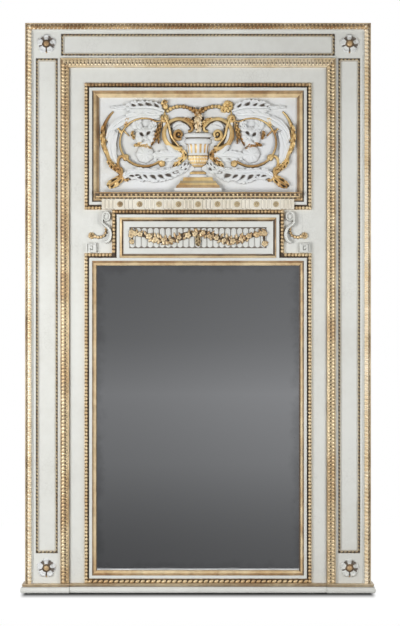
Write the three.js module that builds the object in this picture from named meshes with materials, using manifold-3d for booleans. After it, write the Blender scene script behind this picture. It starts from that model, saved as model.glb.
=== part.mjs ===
// A painted and parcel-gilt trumeau mirror: a tall wall panel with a mirror plate below, a garland
// frieze above it, and a carved relief of an urn between scrolling leaves at the top.
//
// The carcass is joined from flat boards: two outer stiles and a top rail, proud of an inner frame of
// stiles and rails. The mirror plate and the relief panel drop into openings of the inner frame from
// behind and are held there by cross battens. Mitred mouldings are laid on the boards from the front,
// and the carving is planted on top. Everything stands on a moulded plinth.
//
// The model is drawn as an elevation: x across, y up, and z out from the wall. One turned group then
// stands it upright, with +Z up, its front facing -Y and its origin under the middle of the plinth.
// All sizes are in millimetres.
import * as THREE from "three";
import { mergeVertices } from "three/addons/utils/BufferGeometryUtils.js";
import Module from "manifold-3d";

const wasm = await Module();
wasm.setup();

// ---- overall sizes ----
const frameWidth = 1384; // over the outer mouldings
const frameHeight = 2280; // from the floor to the top moulding
const seat = 0.3; // gap left where one piece rests on, or is mitred to, another

// ---- bands of the border, from the outside in ----
const ropeWidth = 30;
const outerMargin = 12;
const sunkWidth = 88; // the sunk panels of the stiles and the top rail
const innerMargin = 10;
const leafWidth = 37; // the moulding between the border and the field
const fieldSide = 60; // flat field beside the mirror and the relief
const fieldTop = 62; // flat field above the relief
const footBlock = 120; // height of the square under each side panel

// ---- the framing of relief, garland and mirror ----
const beadWidth = 15;
const grooveWidth = 4;
const filletWidth = 12;
const mirrorOgee = 18;
const garlandOgee = 18;
const reliefOgee = 26;
const rebateInset = 6; // from the fillet to the edge of the opening behind it
const reliefHeight = 508; // over its frame
const shoulderDrop = 174; // from the relief frame down to the mirror frame's shoulders
const garlandWidth = 690; // over its frame

// ---- the shelf under the relief ----
const friezeHeight = 42;
const friezeThickness = 8;
const friezeInset = 70; // from the relief frame's outer edge to the end of the frieze
const corniceHeight = 26;
const corniceDepth = 25;
const corniceInset = 42;

// ---- depths, from the wall out ----
const battenThickness = 22;
const battenHeight = 90;
const battenInset = 30; // from the outer edge of the frame to the end of a batten
const stileThickness = 34;
const fieldThickness = 24;
const sunkDepth = 10;
const sunkEndWall = 3; // left at each end of the top rail's sunk panel
const glassThickness = 4;
const backboardThickness = 11;
const reliefPanelThickness = 12;
const garlandPanelThickness = 6;
const plateClearance = 2; // round the glass and panels in their openings

// ---- heights of the mouldings above what they lie on ----
const ropeRise = 18;
const pearlWidth = 12;
const pearlRise = 9;
const leafRise = 26;
const crestRise = 16; // bead and fillet of the inner frames

// ---- plinth ----
const plinthHeight = 36;
const plinthFront = 80; // from the wall to the face of a side block
const plinthBreak = 8; // how far the middle is set back
const plinthOverhang = 8; // past the frame at each side
const plinthBulge = 10;
const plinthFillet = 12; // height of its gilt top member

// ---- carving ----
const rosetteRadius = 40;
const rosetteRise = 14;
const reliefRise = 27; // of its boldest carving
const reliefSideRoom = 4.4; // from the outermost stem to the framing's sight edge
const reliefTopRoom = 13.3; // over the highest leaf
const bracketThickness = 20;
const bracketClearance = 3;
const garlandRise = 14;
const eggPitch = 33;
const fluteCount = 23;
const friezePitch = 78; // from one flower of the frieze to the next

// ---- worked out: lines across, from the centre line ----
const halfFrame = frameWidth / 2;
const xSunkOuter = halfFrame - ropeWidth - outerMargin;
const xSunkInner = xSunkOuter - sunkWidth;
const xStile = xSunkInner - innerMargin;
const xField = xStile - leafWidth;
const xFrame = xField - fieldSide; // outer edge of the mirror's and relief's frames
const frameBand = beadWidth + grooveWidth + filletWidth;
const openingInset = frameBand + rebateInset;
const xOpening = xFrame - openingInset;
const xGarland = garlandWidth / 2;

// ---- worked out: lines up, from the floor ----
const yPlinth = plinthHeight + seat;
const ySunkTop = frameHeight - ropeWidth - outerMargin;
const ySunkLow = ySunkTop - sunkWidth;
const yRail = ySunkLow - innerMargin;
const yField = yRail - leafWidth;
const yReliefTop = yField - fieldTop;
const yReliefLow = yReliefTop - reliefHeight;
const yShoulder = yReliefLow - shoulderDrop;
const yCornice = yReliefLow + friezeHeight + seat;
const yShelf = yCornice + corniceHeight; // top of the shelf, where the carving stands
const openings = {
  relief: { low: yReliefLow + openingInset, top: yReliefTop - openingInset },
  mirror: { low: yPlinth + openingInset, top: yShoulder - openingInset },
};

// ---- worked out: faces, from the wall ----
const zBoards = battenThickness + seat;
const zStile = zBoards + stileThickness;
const zField = zBoards + fieldThickness;
const zOnField = zField + seat;
const zCrest = zOnField + crestRise;
const zRelief = zBoards + reliefPanelThickness;
const zBackboard = zBoards + backboardThickness;
const zGlass = zBackboard + seat + glassThickness;
const overallDepth = plinthFront + plinthBulge;

// ---- materials ----
const finish = (color, roughness, metalness = 0) =>
  new THREE.MeshStandardMaterial({ color, roughness, metalness });
const paint = finish(0xdcdad2, 0.55);
const gilt = finish(0xc49a5a, 0.4, 0.7);
const agedGilt = finish(0x6e5c40, 0.5, 0.5);
const pine = finish(0x9a7b55, 0.85);
const silvering = finish(0x6a6c6e, 0.05, 1);

// ---- solids ----

// A closed geometry as a solid that can be joined and cut.
function solidOf(geometry) {
  const bare = geometry.index ? geometry.clone() : mergeVertices(geometry.clone());
  bare.deleteAttribute("normal");
  bare.deleteAttribute("uv");
  const merged = mergeVertices(bare, 1e-3);
  return new wasm.Manifold(
    new wasm.Mesh({
      numProp: 3,
      vertProperties: merged.attributes.position.array,
      triVerts: new Uint32Array(merged.index.array),
    }),
  );
}

function geometryOf(solid) {
  const { vertProperties, triVerts } = solid.getMesh();
  return new THREE.BufferGeometry()
    .setAttribute("position", new THREE.BufferAttribute(vertProperties, 3))
    .setIndex(new THREE.BufferAttribute(triVerts, 1));
}

const joined = (pieces) => pieces.map(solidOf).reduce((a, b) => a.add(b));
const join = (pieces) => geometryOf(joined(pieces));
const cut = (piece, tools) => geometryOf(solidOf(piece).subtract(joined(tools)));

function geometryFrom(points, triangles) {
  return new THREE.BufferGeometry()
    .setAttribute("position", new THREE.Float32BufferAttribute(points.flat(), 3))
    .setIndex(triangles);
}

// Skins a row of equal rings of points, closes each end with a fan, and gives a closed geometry.
function skin(rings) {
  const sides = rings[0].length;
  const triangles = [];
  for (let r = 0; r + 1 < rings.length; r++)
    for (let i = 0; i < sides; i++) {
      const a = r * sides + i;
      const b = r * sides + ((i + 1) % sides);
      triangles.push(a, b, b + sides, a, b + sides, a + sides);
    }
  const last = (rings.length - 1) * sides;
  for (let i = 1; i + 1 < sides; i++) {
    triangles.push(0, i + 1, i);
    triangles.push(last, last + i, last + i + 1);
  }
  return geometryFrom(rings.flat(), triangles);
}

function box(x0, x1, y0, y1, z0, z1) {
  return new THREE.BoxGeometry(x1 - x0, y1 - y0, z1 - z0).translate(
    (x0 + x1) / 2,
    (y0 + y1) / 2,
    (z0 + z1) / 2,
  );
}

const model = new THREE.Group();

function add(name, geometry, material) {
  const mesh = new THREE.Mesh(geometry, material);
  mesh.name = name;
  model.add(mesh);
  return mesh;
}

// A piece and its mirror image on the other side of the centre line.
function addPair(name, geometry, material, drawnSide = "left") {
  const otherSide = drawnSide === "left" ? "right" : "left";
  add(drawnSide + "_" + name, geometry, material);
  add(otherSide + "_" + name, geometry, material).scale.x = -1;
}

// ---- moulding profiles: [across from the outer edge, height above the seat] ----

// Points of an arc that swells from one side of a band to the other.
function swell(u0, u1, base, rise, steps = 6) {
  const points = [];
  for (let i = 0; i <= steps; i++) {
    const a = Math.PI * (1 - i / steps);
    points.push([(u0 + u1) / 2 + ((u1 - u0) / 2) * Math.cos(a), base + rise * Math.sin(a)]);
  }
  return points;
}

// An S-shaped fall from one level to another.
function ogee(u0, u1, h0, h1, steps = 5) {
  const points = [];
  for (let i = 0; i <= steps; i++) {
    const t = i / steps;
    points.push([u0 + (u1 - u0) * t, h0 + ((h1 - h0) * (1 - Math.cos(Math.PI * t))) / 2]);
  }
  return points;
}

function ropeProfile(width, rise) {
  const shoulder = rise * 0.45;
  return [
    [0, 0],
    ...swell(1, width * 0.84, shoulder, rise - shoulder),
    [width * 0.86, rise * 0.3],
    [width, rise * 0.3],
    [width, 0],
  ];
}

function pearlProfile(width, rise) {
  const bead = swell(0.5, width - 1.5, rise * 0.4, rise * 0.6);
  return [[0, 0], ...bead, [width, rise * 0.35], [width, 0]];
}

function leafProfile(width, rise) {
  return [
    [0, 0],
    [0, rise * 0.7],
    [width * 0.1, rise * 0.74],
    ...swell(width * 0.11, width * 0.6, rise * 0.72, rise * 0.28),
    [width * 0.63, rise * 0.6],
    ...swell(width * 0.64, width * 0.88, rise * 0.6, rise * 0.2, 4),
    [width * 0.9, rise * 0.45],
    [width, rise * 0.4],
    [width, 0],
  ];
}

// Bead, groove and fillet, then an ogee that falls to the sight edge. A nose below the seat fills the
// opening down to the panel or glass behind.
function framingProfile(ogeeWidth, innerRise, noseDepth) {
  const width = frameBand + ogeeWidth;
  const grooveLow = crestRise * 0.3;
  const lip = 4;
  const face = [
    [0, 0],
    ...swell(0.5, beadWidth - 0.5, crestRise * 0.55, crestRise * 0.45),
    [beadWidth, grooveLow],
    [beadWidth + grooveWidth, grooveLow],
    [beadWidth + grooveWidth + 0.5, crestRise],
    [frameBand, crestRise],
    ...ogee(frameBand + 1, width - lip, crestRise - 3, innerRise),
    [width - lip + 1, innerRise + 2],
    [width - 0.5, innerRise + 2],
    [width, innerRise],
  ];
  return noseDepth
    ? [...face, [width, -noseDepth], [openingInset + seat, -noseDepth], [openingInset + seat, 0]]
    : [...face, [width, 0]];
}

// A straight length of moulding. Its ends are mitred: a slope of 1 shortens the inner edge, -1
// lengthens it and 0 leaves the end square.
function strip(profile, length, startSlope, endSlope) {
  const outline = new THREE.Shape(profile.map(([u, h]) => new THREE.Vector2(u, h)));
  const geometry = new THREE.ExtrudeGeometry(outline, { depth: length, bevelEnabled: false, steps: 1 });
  const p = geometry.attributes.position;
  for (let i = 0; i < p.count; i++) {
    const atStart = p.getZ(i) < length / 2;
    const shift = atStart ? startSlope * p.getX(i) + seat / 2 : length - endSlope * p.getX(i) - seat / 2;
    p.setZ(i, shift);
  }
  return geometry;
}

// Turns a strip so that it runs along one side of a frame, its profile facing inwards and out.
// Strips run anticlockwise, seen from the front.
const AXIS = {
  x: new THREE.Vector3(1, 0, 0),
  y: new THREE.Vector3(0, 1, 0),
  z: new THREE.Vector3(0, 0, 1),
};
const SIDES = {
  left: { inward: AXIS.x, along: AXIS.y.clone().negate() },
  right: { inward: AXIS.x.clone().negate(), along: AXIS.y },
  top: { inward: AXIS.y.clone().negate(), along: AXIS.x.clone().negate() },
  bottom: { inward: AXIS.y, along: AXIS.x },
};

function lay(geometry, side, x, y, z) {
  const { inward, along } = SIDES[side];
  return geometry.applyMatrix4(
    new THREE.Matrix4().makeBasis(inward, AXIS.z, along).setPosition(x, y, z),
  );
}

// A whole rectangular frame of one moulding, as one ring.
function ring(profile, x0, x1, y0, y1, z) {
  const corners = [
    [x0, y0, 1, 1],
    [x1, y0, -1, 1],
    [x1, y1, -1, -1],
    [x0, y1, 1, -1],
  ];
  const points = corners.flatMap(([x, y, sx, sy]) =>
    profile.map(([u, h]) => [x + sx * u, y + sy * u, z + h]),
  );
  const n = profile.length;
  const triangles = [];
  for (let c = 0; c < 4; c++)
    for (let i = 0; i < n; i++) {
      const a = c * n + i;
      const b = c * n + ((i + 1) % n);
      const shift = (((c + 1) % 4) - c) * n;
      triangles.push(a, a + shift, b + shift, a, b + shift, b);
    }
  return geometryFrom(points, triangles);
}

// ---- the carcass ----

function addBoards() {
  const sunkLow = yPlinth + footBlock;
  const stile = box(xStile, halfFrame, yPlinth, frameHeight, zBoards, zStile);
  const sidePanel = box(xSunkInner, xSunkOuter, sunkLow, yRail, zStile - sunkDepth, zStile + 1);
  const stileCut = cut(stile, [sidePanel]);
  add("right_stile", stileCut, paint);
  add("left_stile", stileCut, paint).scale.x = -1;

  const railHalf = xStile - seat;
  const rail = box(-railHalf, railHalf, yRail, frameHeight, zBoards, zStile);
  const sunkHalf = railHalf - sunkEndWall;
  const topPanel = box(-sunkHalf, sunkHalf, ySunkLow, ySunkTop, zStile - sunkDepth, zStile + 1);
  add("top_rail", cut(rail, [topPanel]), paint);

  const pearls = pearlProfile(pearlWidth, pearlRise);
  const zSunk = zStile - sunkDepth + seat;
  const inner = xSunkInner + seat;
  const outer = xSunkOuter - seat;
  addPair(
    "pearl_frame",
    ring(pearls, -outer, -inner, sunkLow + seat, yRail - seat, zSunk),
    agedGilt,
  );
  const half = sunkHalf - seat;
  add("top_pearl_frame", ring(pearls, -half, half, ySunkLow + seat, ySunkTop - seat, zSunk), agedGilt);
}

function addInnerFrame() {
  const outer = xStile - seat;
  const between = xOpening - seat;
  addPair("inner_stile", box(-outer, -xOpening, yPlinth, yRail - seat, zBoards, zField), paint);
  const rails = {
    inner_top_rail: [openings.relief.top, yRail - seat],
    cross_rail: [openings.mirror.top, openings.relief.low],
    bottom_rail: [yPlinth, openings.mirror.low],
  };
  for (const [name, [low, top]] of Object.entries(rails))
    add(name, box(-between, between, low, top, zBoards, zField), paint);
}

function addPlates() {
  const half = xOpening - plateClearance;
  const plate = ({ low, top }, z0, z1) =>
    box(-half, half, low + plateClearance, top - plateClearance, z0, z1);
  add("relief_panel", plate(openings.relief, zBoards, zRelief), paint);
  add("mirror_backboard", plate(openings.mirror, zBoards, zBackboard), pine);
  add("mirror_glass", plate(openings.mirror, zBackboard + seat, zGlass), silvering);
}

// Each batten crosses an edge of an opening, so that it holds the plate behind it.
function addBattens() {
  const half = halfFrame - battenInset;
  const heights = {
    upper_batten: openings.relief.top,
    upper_middle_batten: openings.relief.low,
    lower_middle_batten: openings.mirror.top,
    lower_batten: openings.mirror.low + battenHeight / 2,
  };
  for (const [name, y] of Object.entries(heights))
    add(name, box(-half, half, y - battenHeight / 2, y + battenHeight / 2, 0, battenThickness), pine);
}

// ---- mouldings of the border ----

function addBorder() {
  const sideRun = frameHeight - yPlinth;
  const rope = ropeProfile(ropeWidth, ropeRise);
  const zRope = zStile + seat;
  const leftRope = lay(strip(rope, sideRun, 1, 0), "left", -halfFrame, frameHeight, zRope);
  addPair("outer_moulding", leftRope, gilt);
  const topRope = strip(rope, frameWidth, 1, 1);
  add("top_outer_moulding", lay(topRope, "top", halfFrame, frameHeight, zRope), gilt);

  const leaf = leafProfile(leafWidth - seat, leafRise);
  const edge = xStile - seat;
  const top = yRail - seat;
  const leftLeaf = lay(strip(leaf, top - yPlinth, 1, 0), "left", -edge, top, zOnField);
  addPair("leaf_moulding", leftLeaf, gilt);
  add("top_leaf_moulding", lay(strip(leaf, 2 * edge, 1, 1), "top", edge, top, zOnField), gilt);
}

// ---- framings of the mirror, garland and relief ----

function addMirrorFrame() {
  const profile = framingProfile(mirrorOgee, 2, zOnField - zGlass - seat);
  const side = lay(strip(profile, yShoulder - yPlinth, 1, 1), "left", -xFrame, yShoulder, zOnField);
  addPair("mirror_frame", side, gilt);
  const bottom = lay(strip(profile, 2 * xFrame, 1, 1), "bottom", -xFrame, yPlinth, zOnField);
  add("bottom_mirror_frame", bottom, gilt);

  const start = beadWidth + grooveWidth;
  const fillet = profile.filter(([u]) => u > start);
  const inner = [[start + seat, 0], [start + seat, crestRise], ...fillet];
  const top = lay(strip(inner, 2 * xFrame, 1, 1), "top", xFrame, yShoulder, zOnField);
  add("top_mirror_frame", top, gilt);

  const bead = profile.filter(([u]) => u <= start);
  const shoulder = [...bead, [start, 0]];
  const run = xFrame - xGarland;
  const left = lay(strip(shoulder, run, -1, 1), "top", -xGarland, yShoulder, zOnField);
  addPair("shoulder_moulding", left, gilt);
}

function addGarlandFrame() {
  const top = yReliefLow - seat;
  const profile = framingProfile(garlandOgee, garlandPanelThickness + 1, 0);
  const low = yShoulder - beadWidth - grooveWidth + seat; // the fillet runs down to the mirror's
  const full = lay(strip(profile, top - low, 1, 0), "left", -xGarland, top, zOnField);
  const z0 = zOnField - 1;
  const z1 = zCrest + 1;
  const wedge = (points) => {
    const outline = new THREE.Shape(points.map(([x, y]) => new THREE.Vector2(x, y)));
    const options = { depth: z1 - z0, bevelEnabled: false };
    return new THREE.ExtrudeGeometry(outline, options).translate(0, 0, z0);
  };
  const reach = 10; // how far the cutting wedges run past the moulding
  const band = beadWidth + grooveWidth;
  const underShoulder = wedge([
    [-xGarland - reach, yShoulder + reach + seat],
    [-xGarland - reach, low - reach],
    [-xGarland + band + reach, low - reach],
    [-xGarland + band + reach, yShoulder - band - reach + seat],
  ]);
  const ogeeOuter = -xGarland + frameBand;
  const ogeeInner = ogeeOuter + garlandOgee;
  const underOgee = wedge([
    [ogeeOuter - seat, low - seat - reach],
    [ogeeInner + reach, low - seat - reach],
    [ogeeInner + reach, low + garlandOgee + reach],
    [ogeeOuter - seat, low - seat],
  ]);
  addPair("garland_frame", cut(full, [underShoulder, underOgee]), gilt);
  add("top_garland_frame", lay(strip(profile, garlandWidth, 1, 1), "top", xGarland, top, zOnField), gilt);

  const inner = profile
    .filter(([u]) => u > frameBand)
    .map(([u, h]) => [u - frameBand, h]);
  const lower = [[0, 0], [0, crestRise - 3], ...inner];
  const length = 2 * (xGarland - frameBand);
  const lowerStrip = strip(lower, length, 1, 1);
  add("bottom_garland_frame", lay(lowerStrip, "bottom", ogeeOuter, low, zOnField), gilt);
  return {
    inner: xGarland - frameBand - garlandOgee,
    low: low + garlandOgee,
    top: top - frameBand - garlandOgee,
  };
}

function addReliefFrame() {
  const profile = framingProfile(reliefOgee, -4, zOnField - zRelief - seat);
  const side = lay(strip(profile, reliefHeight, 1, 1), "left", -xFrame, yReliefTop, zOnField);
  addPair("relief_frame", side, gilt);
  const across = () => strip(profile, 2 * xFrame, 1, 1);
  add("top_relief_frame", lay(across(), "top", xFrame, yReliefTop, zOnField), gilt);
  add("bottom_relief_frame", lay(across(), "bottom", -xFrame, yReliefLow, zOnField), gilt);
}

// ---- the shelf: an egg moulding over a fluted frieze ----

// A low carved boss on a flat back: its outline and height are functions of the angle and radius.
function boss(x, y, z, segments, rings, outline, height) {
  const points = [[x, y, z + height(0, 0)]];
  for (let r = 1; r <= rings; r++)
    for (let s = 0; s < segments; s++) {
      const angle = (s / segments) * 2 * Math.PI;
      const reach = (r / rings) * outline(angle);
      points.push([x + reach * Math.cos(angle), y + reach * Math.sin(angle), z + height(r / rings, angle)]);
    }
  const rim = 1 + (rings - 1) * segments;
  for (let s = 0; s < segments; s++) points.push([points[rim + s][0], points[rim + s][1], z]);
  points.push([x, y, z]);
  const back = points.length - 1;
  const triangles = [];
  for (let s = 0; s < segments; s++) {
    const next = (s + 1) % segments;
    triangles.push(0, 1 + s, 1 + next);
    for (let r = 0; r < rings; r++) {
      const a = 1 + r * segments;
      const b = a + segments;
      triangles.push(a + s, b + s, b + next, a + s, b + next, a + next);
    }
    triangles.push(back, back - segments + next, back - segments + s);
  }
  return geometryFrom(points, triangles);
}

function addShelf() {
  const z = zCrest + seat;
  const half = xFrame - corniceInset;
  const top = yShelf;
  const h = corniceHeight;
  const d = corniceDepth;
  const profile = [
    [z, yCornice],
    [z + d * 0.55, yCornice],
    [z + d * 0.55, yCornice + h * 0.16],
    [z + d * 0.45, yCornice + h * 0.2],
    [z + d * 0.6, yCornice + h * 0.45],
    [z + d * 0.88, yCornice + h * 0.74],
    [z + d, yCornice + h * 0.78],
    [z + d, top],
    [z, top],
  ];
  const outline = new THREE.Shape(profile.map(([u, v]) => new THREE.Vector2(u, v)));
  const body = new THREE.ExtrudeGeometry(outline, { depth: 2 * half, bevelEnabled: false });
  body.applyMatrix4(
    new THREE.Matrix4().makeBasis(AXIS.z, AXIS.y, AXIS.x.clone().negate()).setPosition(half, 0, 0),
  );
  const pieces = [body];
  const count = Math.floor((2 * half - eggPitch) / eggPitch);
  for (let i = 0; i < count; i++) {
    const egg = new THREE.SphereGeometry(1, 6, 4).scale(eggPitch * 0.3, h * 0.3, d * 0.28);
    pieces.push(egg.translate((i - (count - 1) / 2) * eggPitch, yCornice + h * 0.46, z + d * 0.58));
  }
  add("egg_cornice", join(pieces), gilt);

  const friezeHalf = xFrame - friezeInset;
  const board = box(-friezeHalf, friezeHalf, yReliefLow, yReliefLow + friezeHeight, z, z + friezeThickness);
  const flute = friezePitch / 5;
  const asideOfMiddle = Math.floor(friezeHalf / friezePitch - 0.5);
  const grooves = [];
  const roses = [];
  for (let i = -asideOfMiddle; i <= asideOfMiddle; i++) {
    const x = i * friezePitch;
    const middle = yReliefLow + friezeHeight / 2;
    const petals = (angle) => friezeHeight * 0.26 * (0.85 + 0.15 * Math.cos(6 * angle));
    const dome = (r) => friezeThickness + 4 * (1 - r * r) + 0.6;
    roses.push(boss(x, middle, z, 10, 2, petals, dome));
  }
  for (let i = -asideOfMiddle; i <= asideOfMiddle + 1; i++)
    for (const step of [-1, 0, 1]) {
      const x = (i - 0.5) * friezePitch + step * flute;
      if (Math.abs(x) > friezeHalf - flute / 2) continue;
      const tool = new THREE.CylinderGeometry(flute * 0.3, flute * 0.3, friezeHeight * 0.76, 6);
      grooves.push(tool.translate(x, yReliefLow + friezeHeight / 2, z + friezeThickness));
    }
  add("fluted_frieze", join([cut(board, grooves), ...roses]), paint);
}

// ---- carving ----

// Points along part of an ellipse, whose radius grows by the given factor on the way.
function arc(cx, cy, rx, ry, from, to, growth = 1, count = 8) {
  const points = [];
  for (let i = 0; i <= count; i++) {
    const t = i / count;
    const angle = THREE.MathUtils.degToRad(from + (to - from) * t);
    const k = 1 + (growth - 1) * t;
    points.push([cx + rx * k * Math.cos(angle), cy + ry * k * Math.sin(angle)]);
  }
  return points;
}

// Calls a function at even steps along a smooth line, with the place, its direction and how far along
// it is from 0 to 1, and skins the sections that it gives back.
function alongLine(points, steps, sectionAt) {
  const line = new THREE.CatmullRomCurve3(points.map(([x, y]) => new THREE.Vector3(x, y, 0)));
  const rings = [];
  for (let i = 0; i <= steps; i++) {
    const t = i / steps;
    const { x, y } = line.getPoint(t);
    const { x: tx, y: ty } = line.getTangent(t);
    const section = sectionAt(t, i).map(([across, out]) => [x - ty * across, y + tx * across, out]);
    rings.push(section);
  }
  return skin(rings);
}

// A value read off a short list of evenly spaced ones.
function between(values, t) {
  const place = t * (values.length - 1);
  const k = Math.min(Math.floor(place), values.length - 2);
  return values[k] + (values[k + 1] - values[k]) * (place - k);
}

// A tapering half-round stem with a flat back.
function stem(points, radii, steps, sides = 6, lift = 0.9) {
  return alongLine(points, steps, (t) => {
    const radius = between(radii, t);
    const section = [];
    for (let s = 0; s < sides; s++) {
      const a = (s / sides) * 2 * Math.PI;
      section.push([radius * Math.cos(a), Math.max(0, radius * (lift + Math.sin(a)))]);
    }
    return section;
  });
}

// A lobed leaf, ridged beside its midrib. Each side has its own width, and its lobes sweep forwards.
function leaf(points, leftWidth, rightWidth, rise, lobes) {
  const stepsPerLobe = 3;
  return alongLine(points, lobes * stepsPerLobe, (t, i) => {
    const body = Math.sqrt(Math.sin(Math.PI * (0.07 + 0.88 * t)));
    const lobe = [0.6, 0.95, 1][i % stepsPerLobe];
    const left = leftWidth * body * lobe;
    const right = rightWidth * body * lobe;
    const crown = rise * (0.55 + 0.45 * body);
    const edge = crown * (i % stepsPerLobe === 2 ? 0.75 : 0.35);
    return [
      [-right, 0],
      [left, 0],
      [left, edge],
      [left * 0.55, crown],
      [0, crown * 0.62],
      [-right * 0.55, crown],
      [-right, edge],
    ];
  });
}

// The relief is drawn outwards from its centre line and upwards from the shelf. Its pieces are then
// scaled together, so that the widest and the highest of them stop short of the framing's sight edge.
function addRelief() {
  const drawn = [];
  const draw = (name, geometry, material) => drawn.push({ name, geometry, material });
  const drawPair = (name, geometry, material) => drawn.push({ name, geometry, material, paired: true });
  drawUrn(draw);
  drawHorns(drawPair);
  drawScrolls(drawPair);
  drawFestoon(draw);

  const reach = new THREE.Box3();
  for (const { geometry } of drawn) {
    geometry.computeBoundingBox();
    reach.union(geometry.boundingBox);
  }
  const low = yShelf + seat;
  const sight = frameBand + reliefOgee;
  const sx = (xFrame - sight - reliefSideRoom) / reach.max.x;
  const sy = (yReliefTop - sight - reliefTopRoom - low) / reach.max.y;
  const sz = reliefRise / reach.max.z;
  for (const { name, geometry, material, paired } of drawn) {
    const fitted = geometry.scale(sx, sy, sz).translate(0, low, zRelief + seat);
    if (paired) addPair(name, fitted, material, "right");
    else add(name, fitted, material);
  }
}

// A horn handle: a thick C from the urn's side over the top to its rim, with a volute inside it. Some
// room round it gives the shape that is cut out of what it passes over.
function hornPieces(room) {
  const hornLine = [...arc(77, 238, 58, 59, -84, 142, 1, 12), [24, 262], [30, 250], [42, 250]];
  const volute = arc(80, 230, 22, 25, -110, 200, 0.62, 9);
  const ribbon = [[132, 306], [118, 274], [106, 226], [78, 188]];
  const husk = [[84, 181], [68, 168], [58, 150], [76, 134], [96, 106], [98, 88]];
  const fatter = (sizes, room) => sizes.map((size) => size + room);
  return [
    stem(hornLine, fatter([5, 9, 10, 10, 9, 8, 9, 9, 8, 8, 6], room), 24, 7),
    stem(volute, fatter([6, 9, 10, 9, 8, 7, 5], room), 13),
    stem(ribbon, fatter([4, 4.5, 4, 3], room), 6, 5, 1),
    leaf(husk, 8 + room, 8 + room, 11 + room, 4),
    boss(78, 232, 0, 8, 2, () => 20 + room, (r) => 7 + room + 4 * (1 - r * r)),
  ];
}

function drawHorns(draw) {
  draw("horn", join(hornPieces(0)), gilt);
}

// The scrolling leaves: a gilt stem that rises from the lower corner and turns in on itself round a
// flower, with acanthus leaves along it.
function drawScrolls(draw) {
  const outerStem = [...arc(245, 226, 138, 140, 46, -30), ...arc(245, 226, 146, 148, -42, -70, 1.11, 4)];
  const ringStem = [[140, 292], ...arc(215, 203, 99, 97, 120, -128, 1, 16)];
  const branch = [...arc(338, 222, 33, 42, -20, 120, 1, 5), [309, 245]];
  const curl = [[306, 76], ...arc(304, 122, 18, 27, -80, 95, 1, 5), [290, 142]];
  const topLeaf = [[352, 322], [305, 343], [262, 342], [220, 340], [180, 340], [138, 350]];
  const lowLeaf = [[300, 62], [268, 72], [232, 72], [196, 70], [156, 78], [112, 84]];
  const sprayLeaf = [[300, 72], [316, 54], [334, 44], [356, 27]];
  const sideSpray = [[318, 84], [300, 64], [282, 52]];
  const shellLeaf = [[146, 118], [176, 140], [206, 158], [236, 170], [256, 200]];
  const wavyLeaf = [[66, 152], [98, 158], [132, 156], [164, 142]];
  const drop = [[144, 282], [163, 262], [174, 228], [184, 190]];
  const dropTwin = [[152, 272], [160, 240], [156, 198]];
  const upright = [[132, 300], [134, 322], [131, 350]];
  const tendril = [[262, 196], [252, 214], [236, 226]];
  const petals = (angle) => 38 * (0.86 + 0.14 * Math.cos(5 * angle));
  const scroll = [
    stem(outerStem, [5, 7, 10, 11, 11, 9, 8, 8], 18, 7),
    leaf(arc(243, 226, 138, 140, 22, -30, 1, 6), 12, 8, 17, 4),
    stem(ringStem, [5, 5, 5, 5, 5, 6, 6, 5, 5], 28, 5),
    stem(branch, [3.5, 4, 4, 5], 8, 5),
    stem(curl, [6, 6, 6, 5], 7, 5),
    stem(tendril, [5, 5, 6], 4, 5),
    stem(upright, [6, 4, 5], 5, 5),
    leaf(topLeaf, 24, 28, 16, 7),
    leaf(lowLeaf, 30, 30, 16, 7),
    leaf(sprayLeaf, 16, 16, 13, 3),
    leaf(sideSpray, 10, 10, 10, 2),
    leaf(shellLeaf, 20, 18, 14, 4),
    leaf(wavyLeaf, 18, 18, 12, 4),
    leaf(drop, 11, 11, 12, 3),
    leaf(dropTwin, 8, 8, 9, 2),
    boss(206, 224, 0, 20, 3, petals, (r, a) => 8 + 6 * Math.sin(3 * r) + 3 * Math.cos(5 * a) * r),
    boss(291, 142, 0, 8, 2, () => 13, (r) => 8 + 7 * (1 - r * r)),
    boss(146, 118, 0, 8, 2, () => 13, (r) => 8 + 7 * (1 - r * r)),
    boss(134, 298, 0, 7, 2, () => 16, (r) => 9 + 8 * (1 - r * r)),
    boss(131, 358, 0, 7, 2, () => 12, (r) => 8 + 7 * (1 - r * r)),
  ];
  const hornRoom = hornPieces(2 * seat).map((piece) => piece.translate(0, 0, -seat));
  draw("leaf_scroll", cut(join(scroll), hornRoom), paint);
}

// The festoon over the urn: leafy arcs that meet over a hanging husk.
function drawFestoon(draw) {
  const string = [[3, 326], ...arc(70, 316, 56, 31, 158, 24)];
  const husks = leaf([[0, 250], [0, 274], [0, 300], [0, 326], [0, 350]], 16, 16, 18, 3);
  const half = leaf(string, 8, 8, 13, 6);
  const otherHalf = leaf(string.map(([x, y]) => [-x, y]).reverse(), 8, 8, 13, 6);
  draw("festoon", join([half, otherHalf, husks]), gilt);
}

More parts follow.
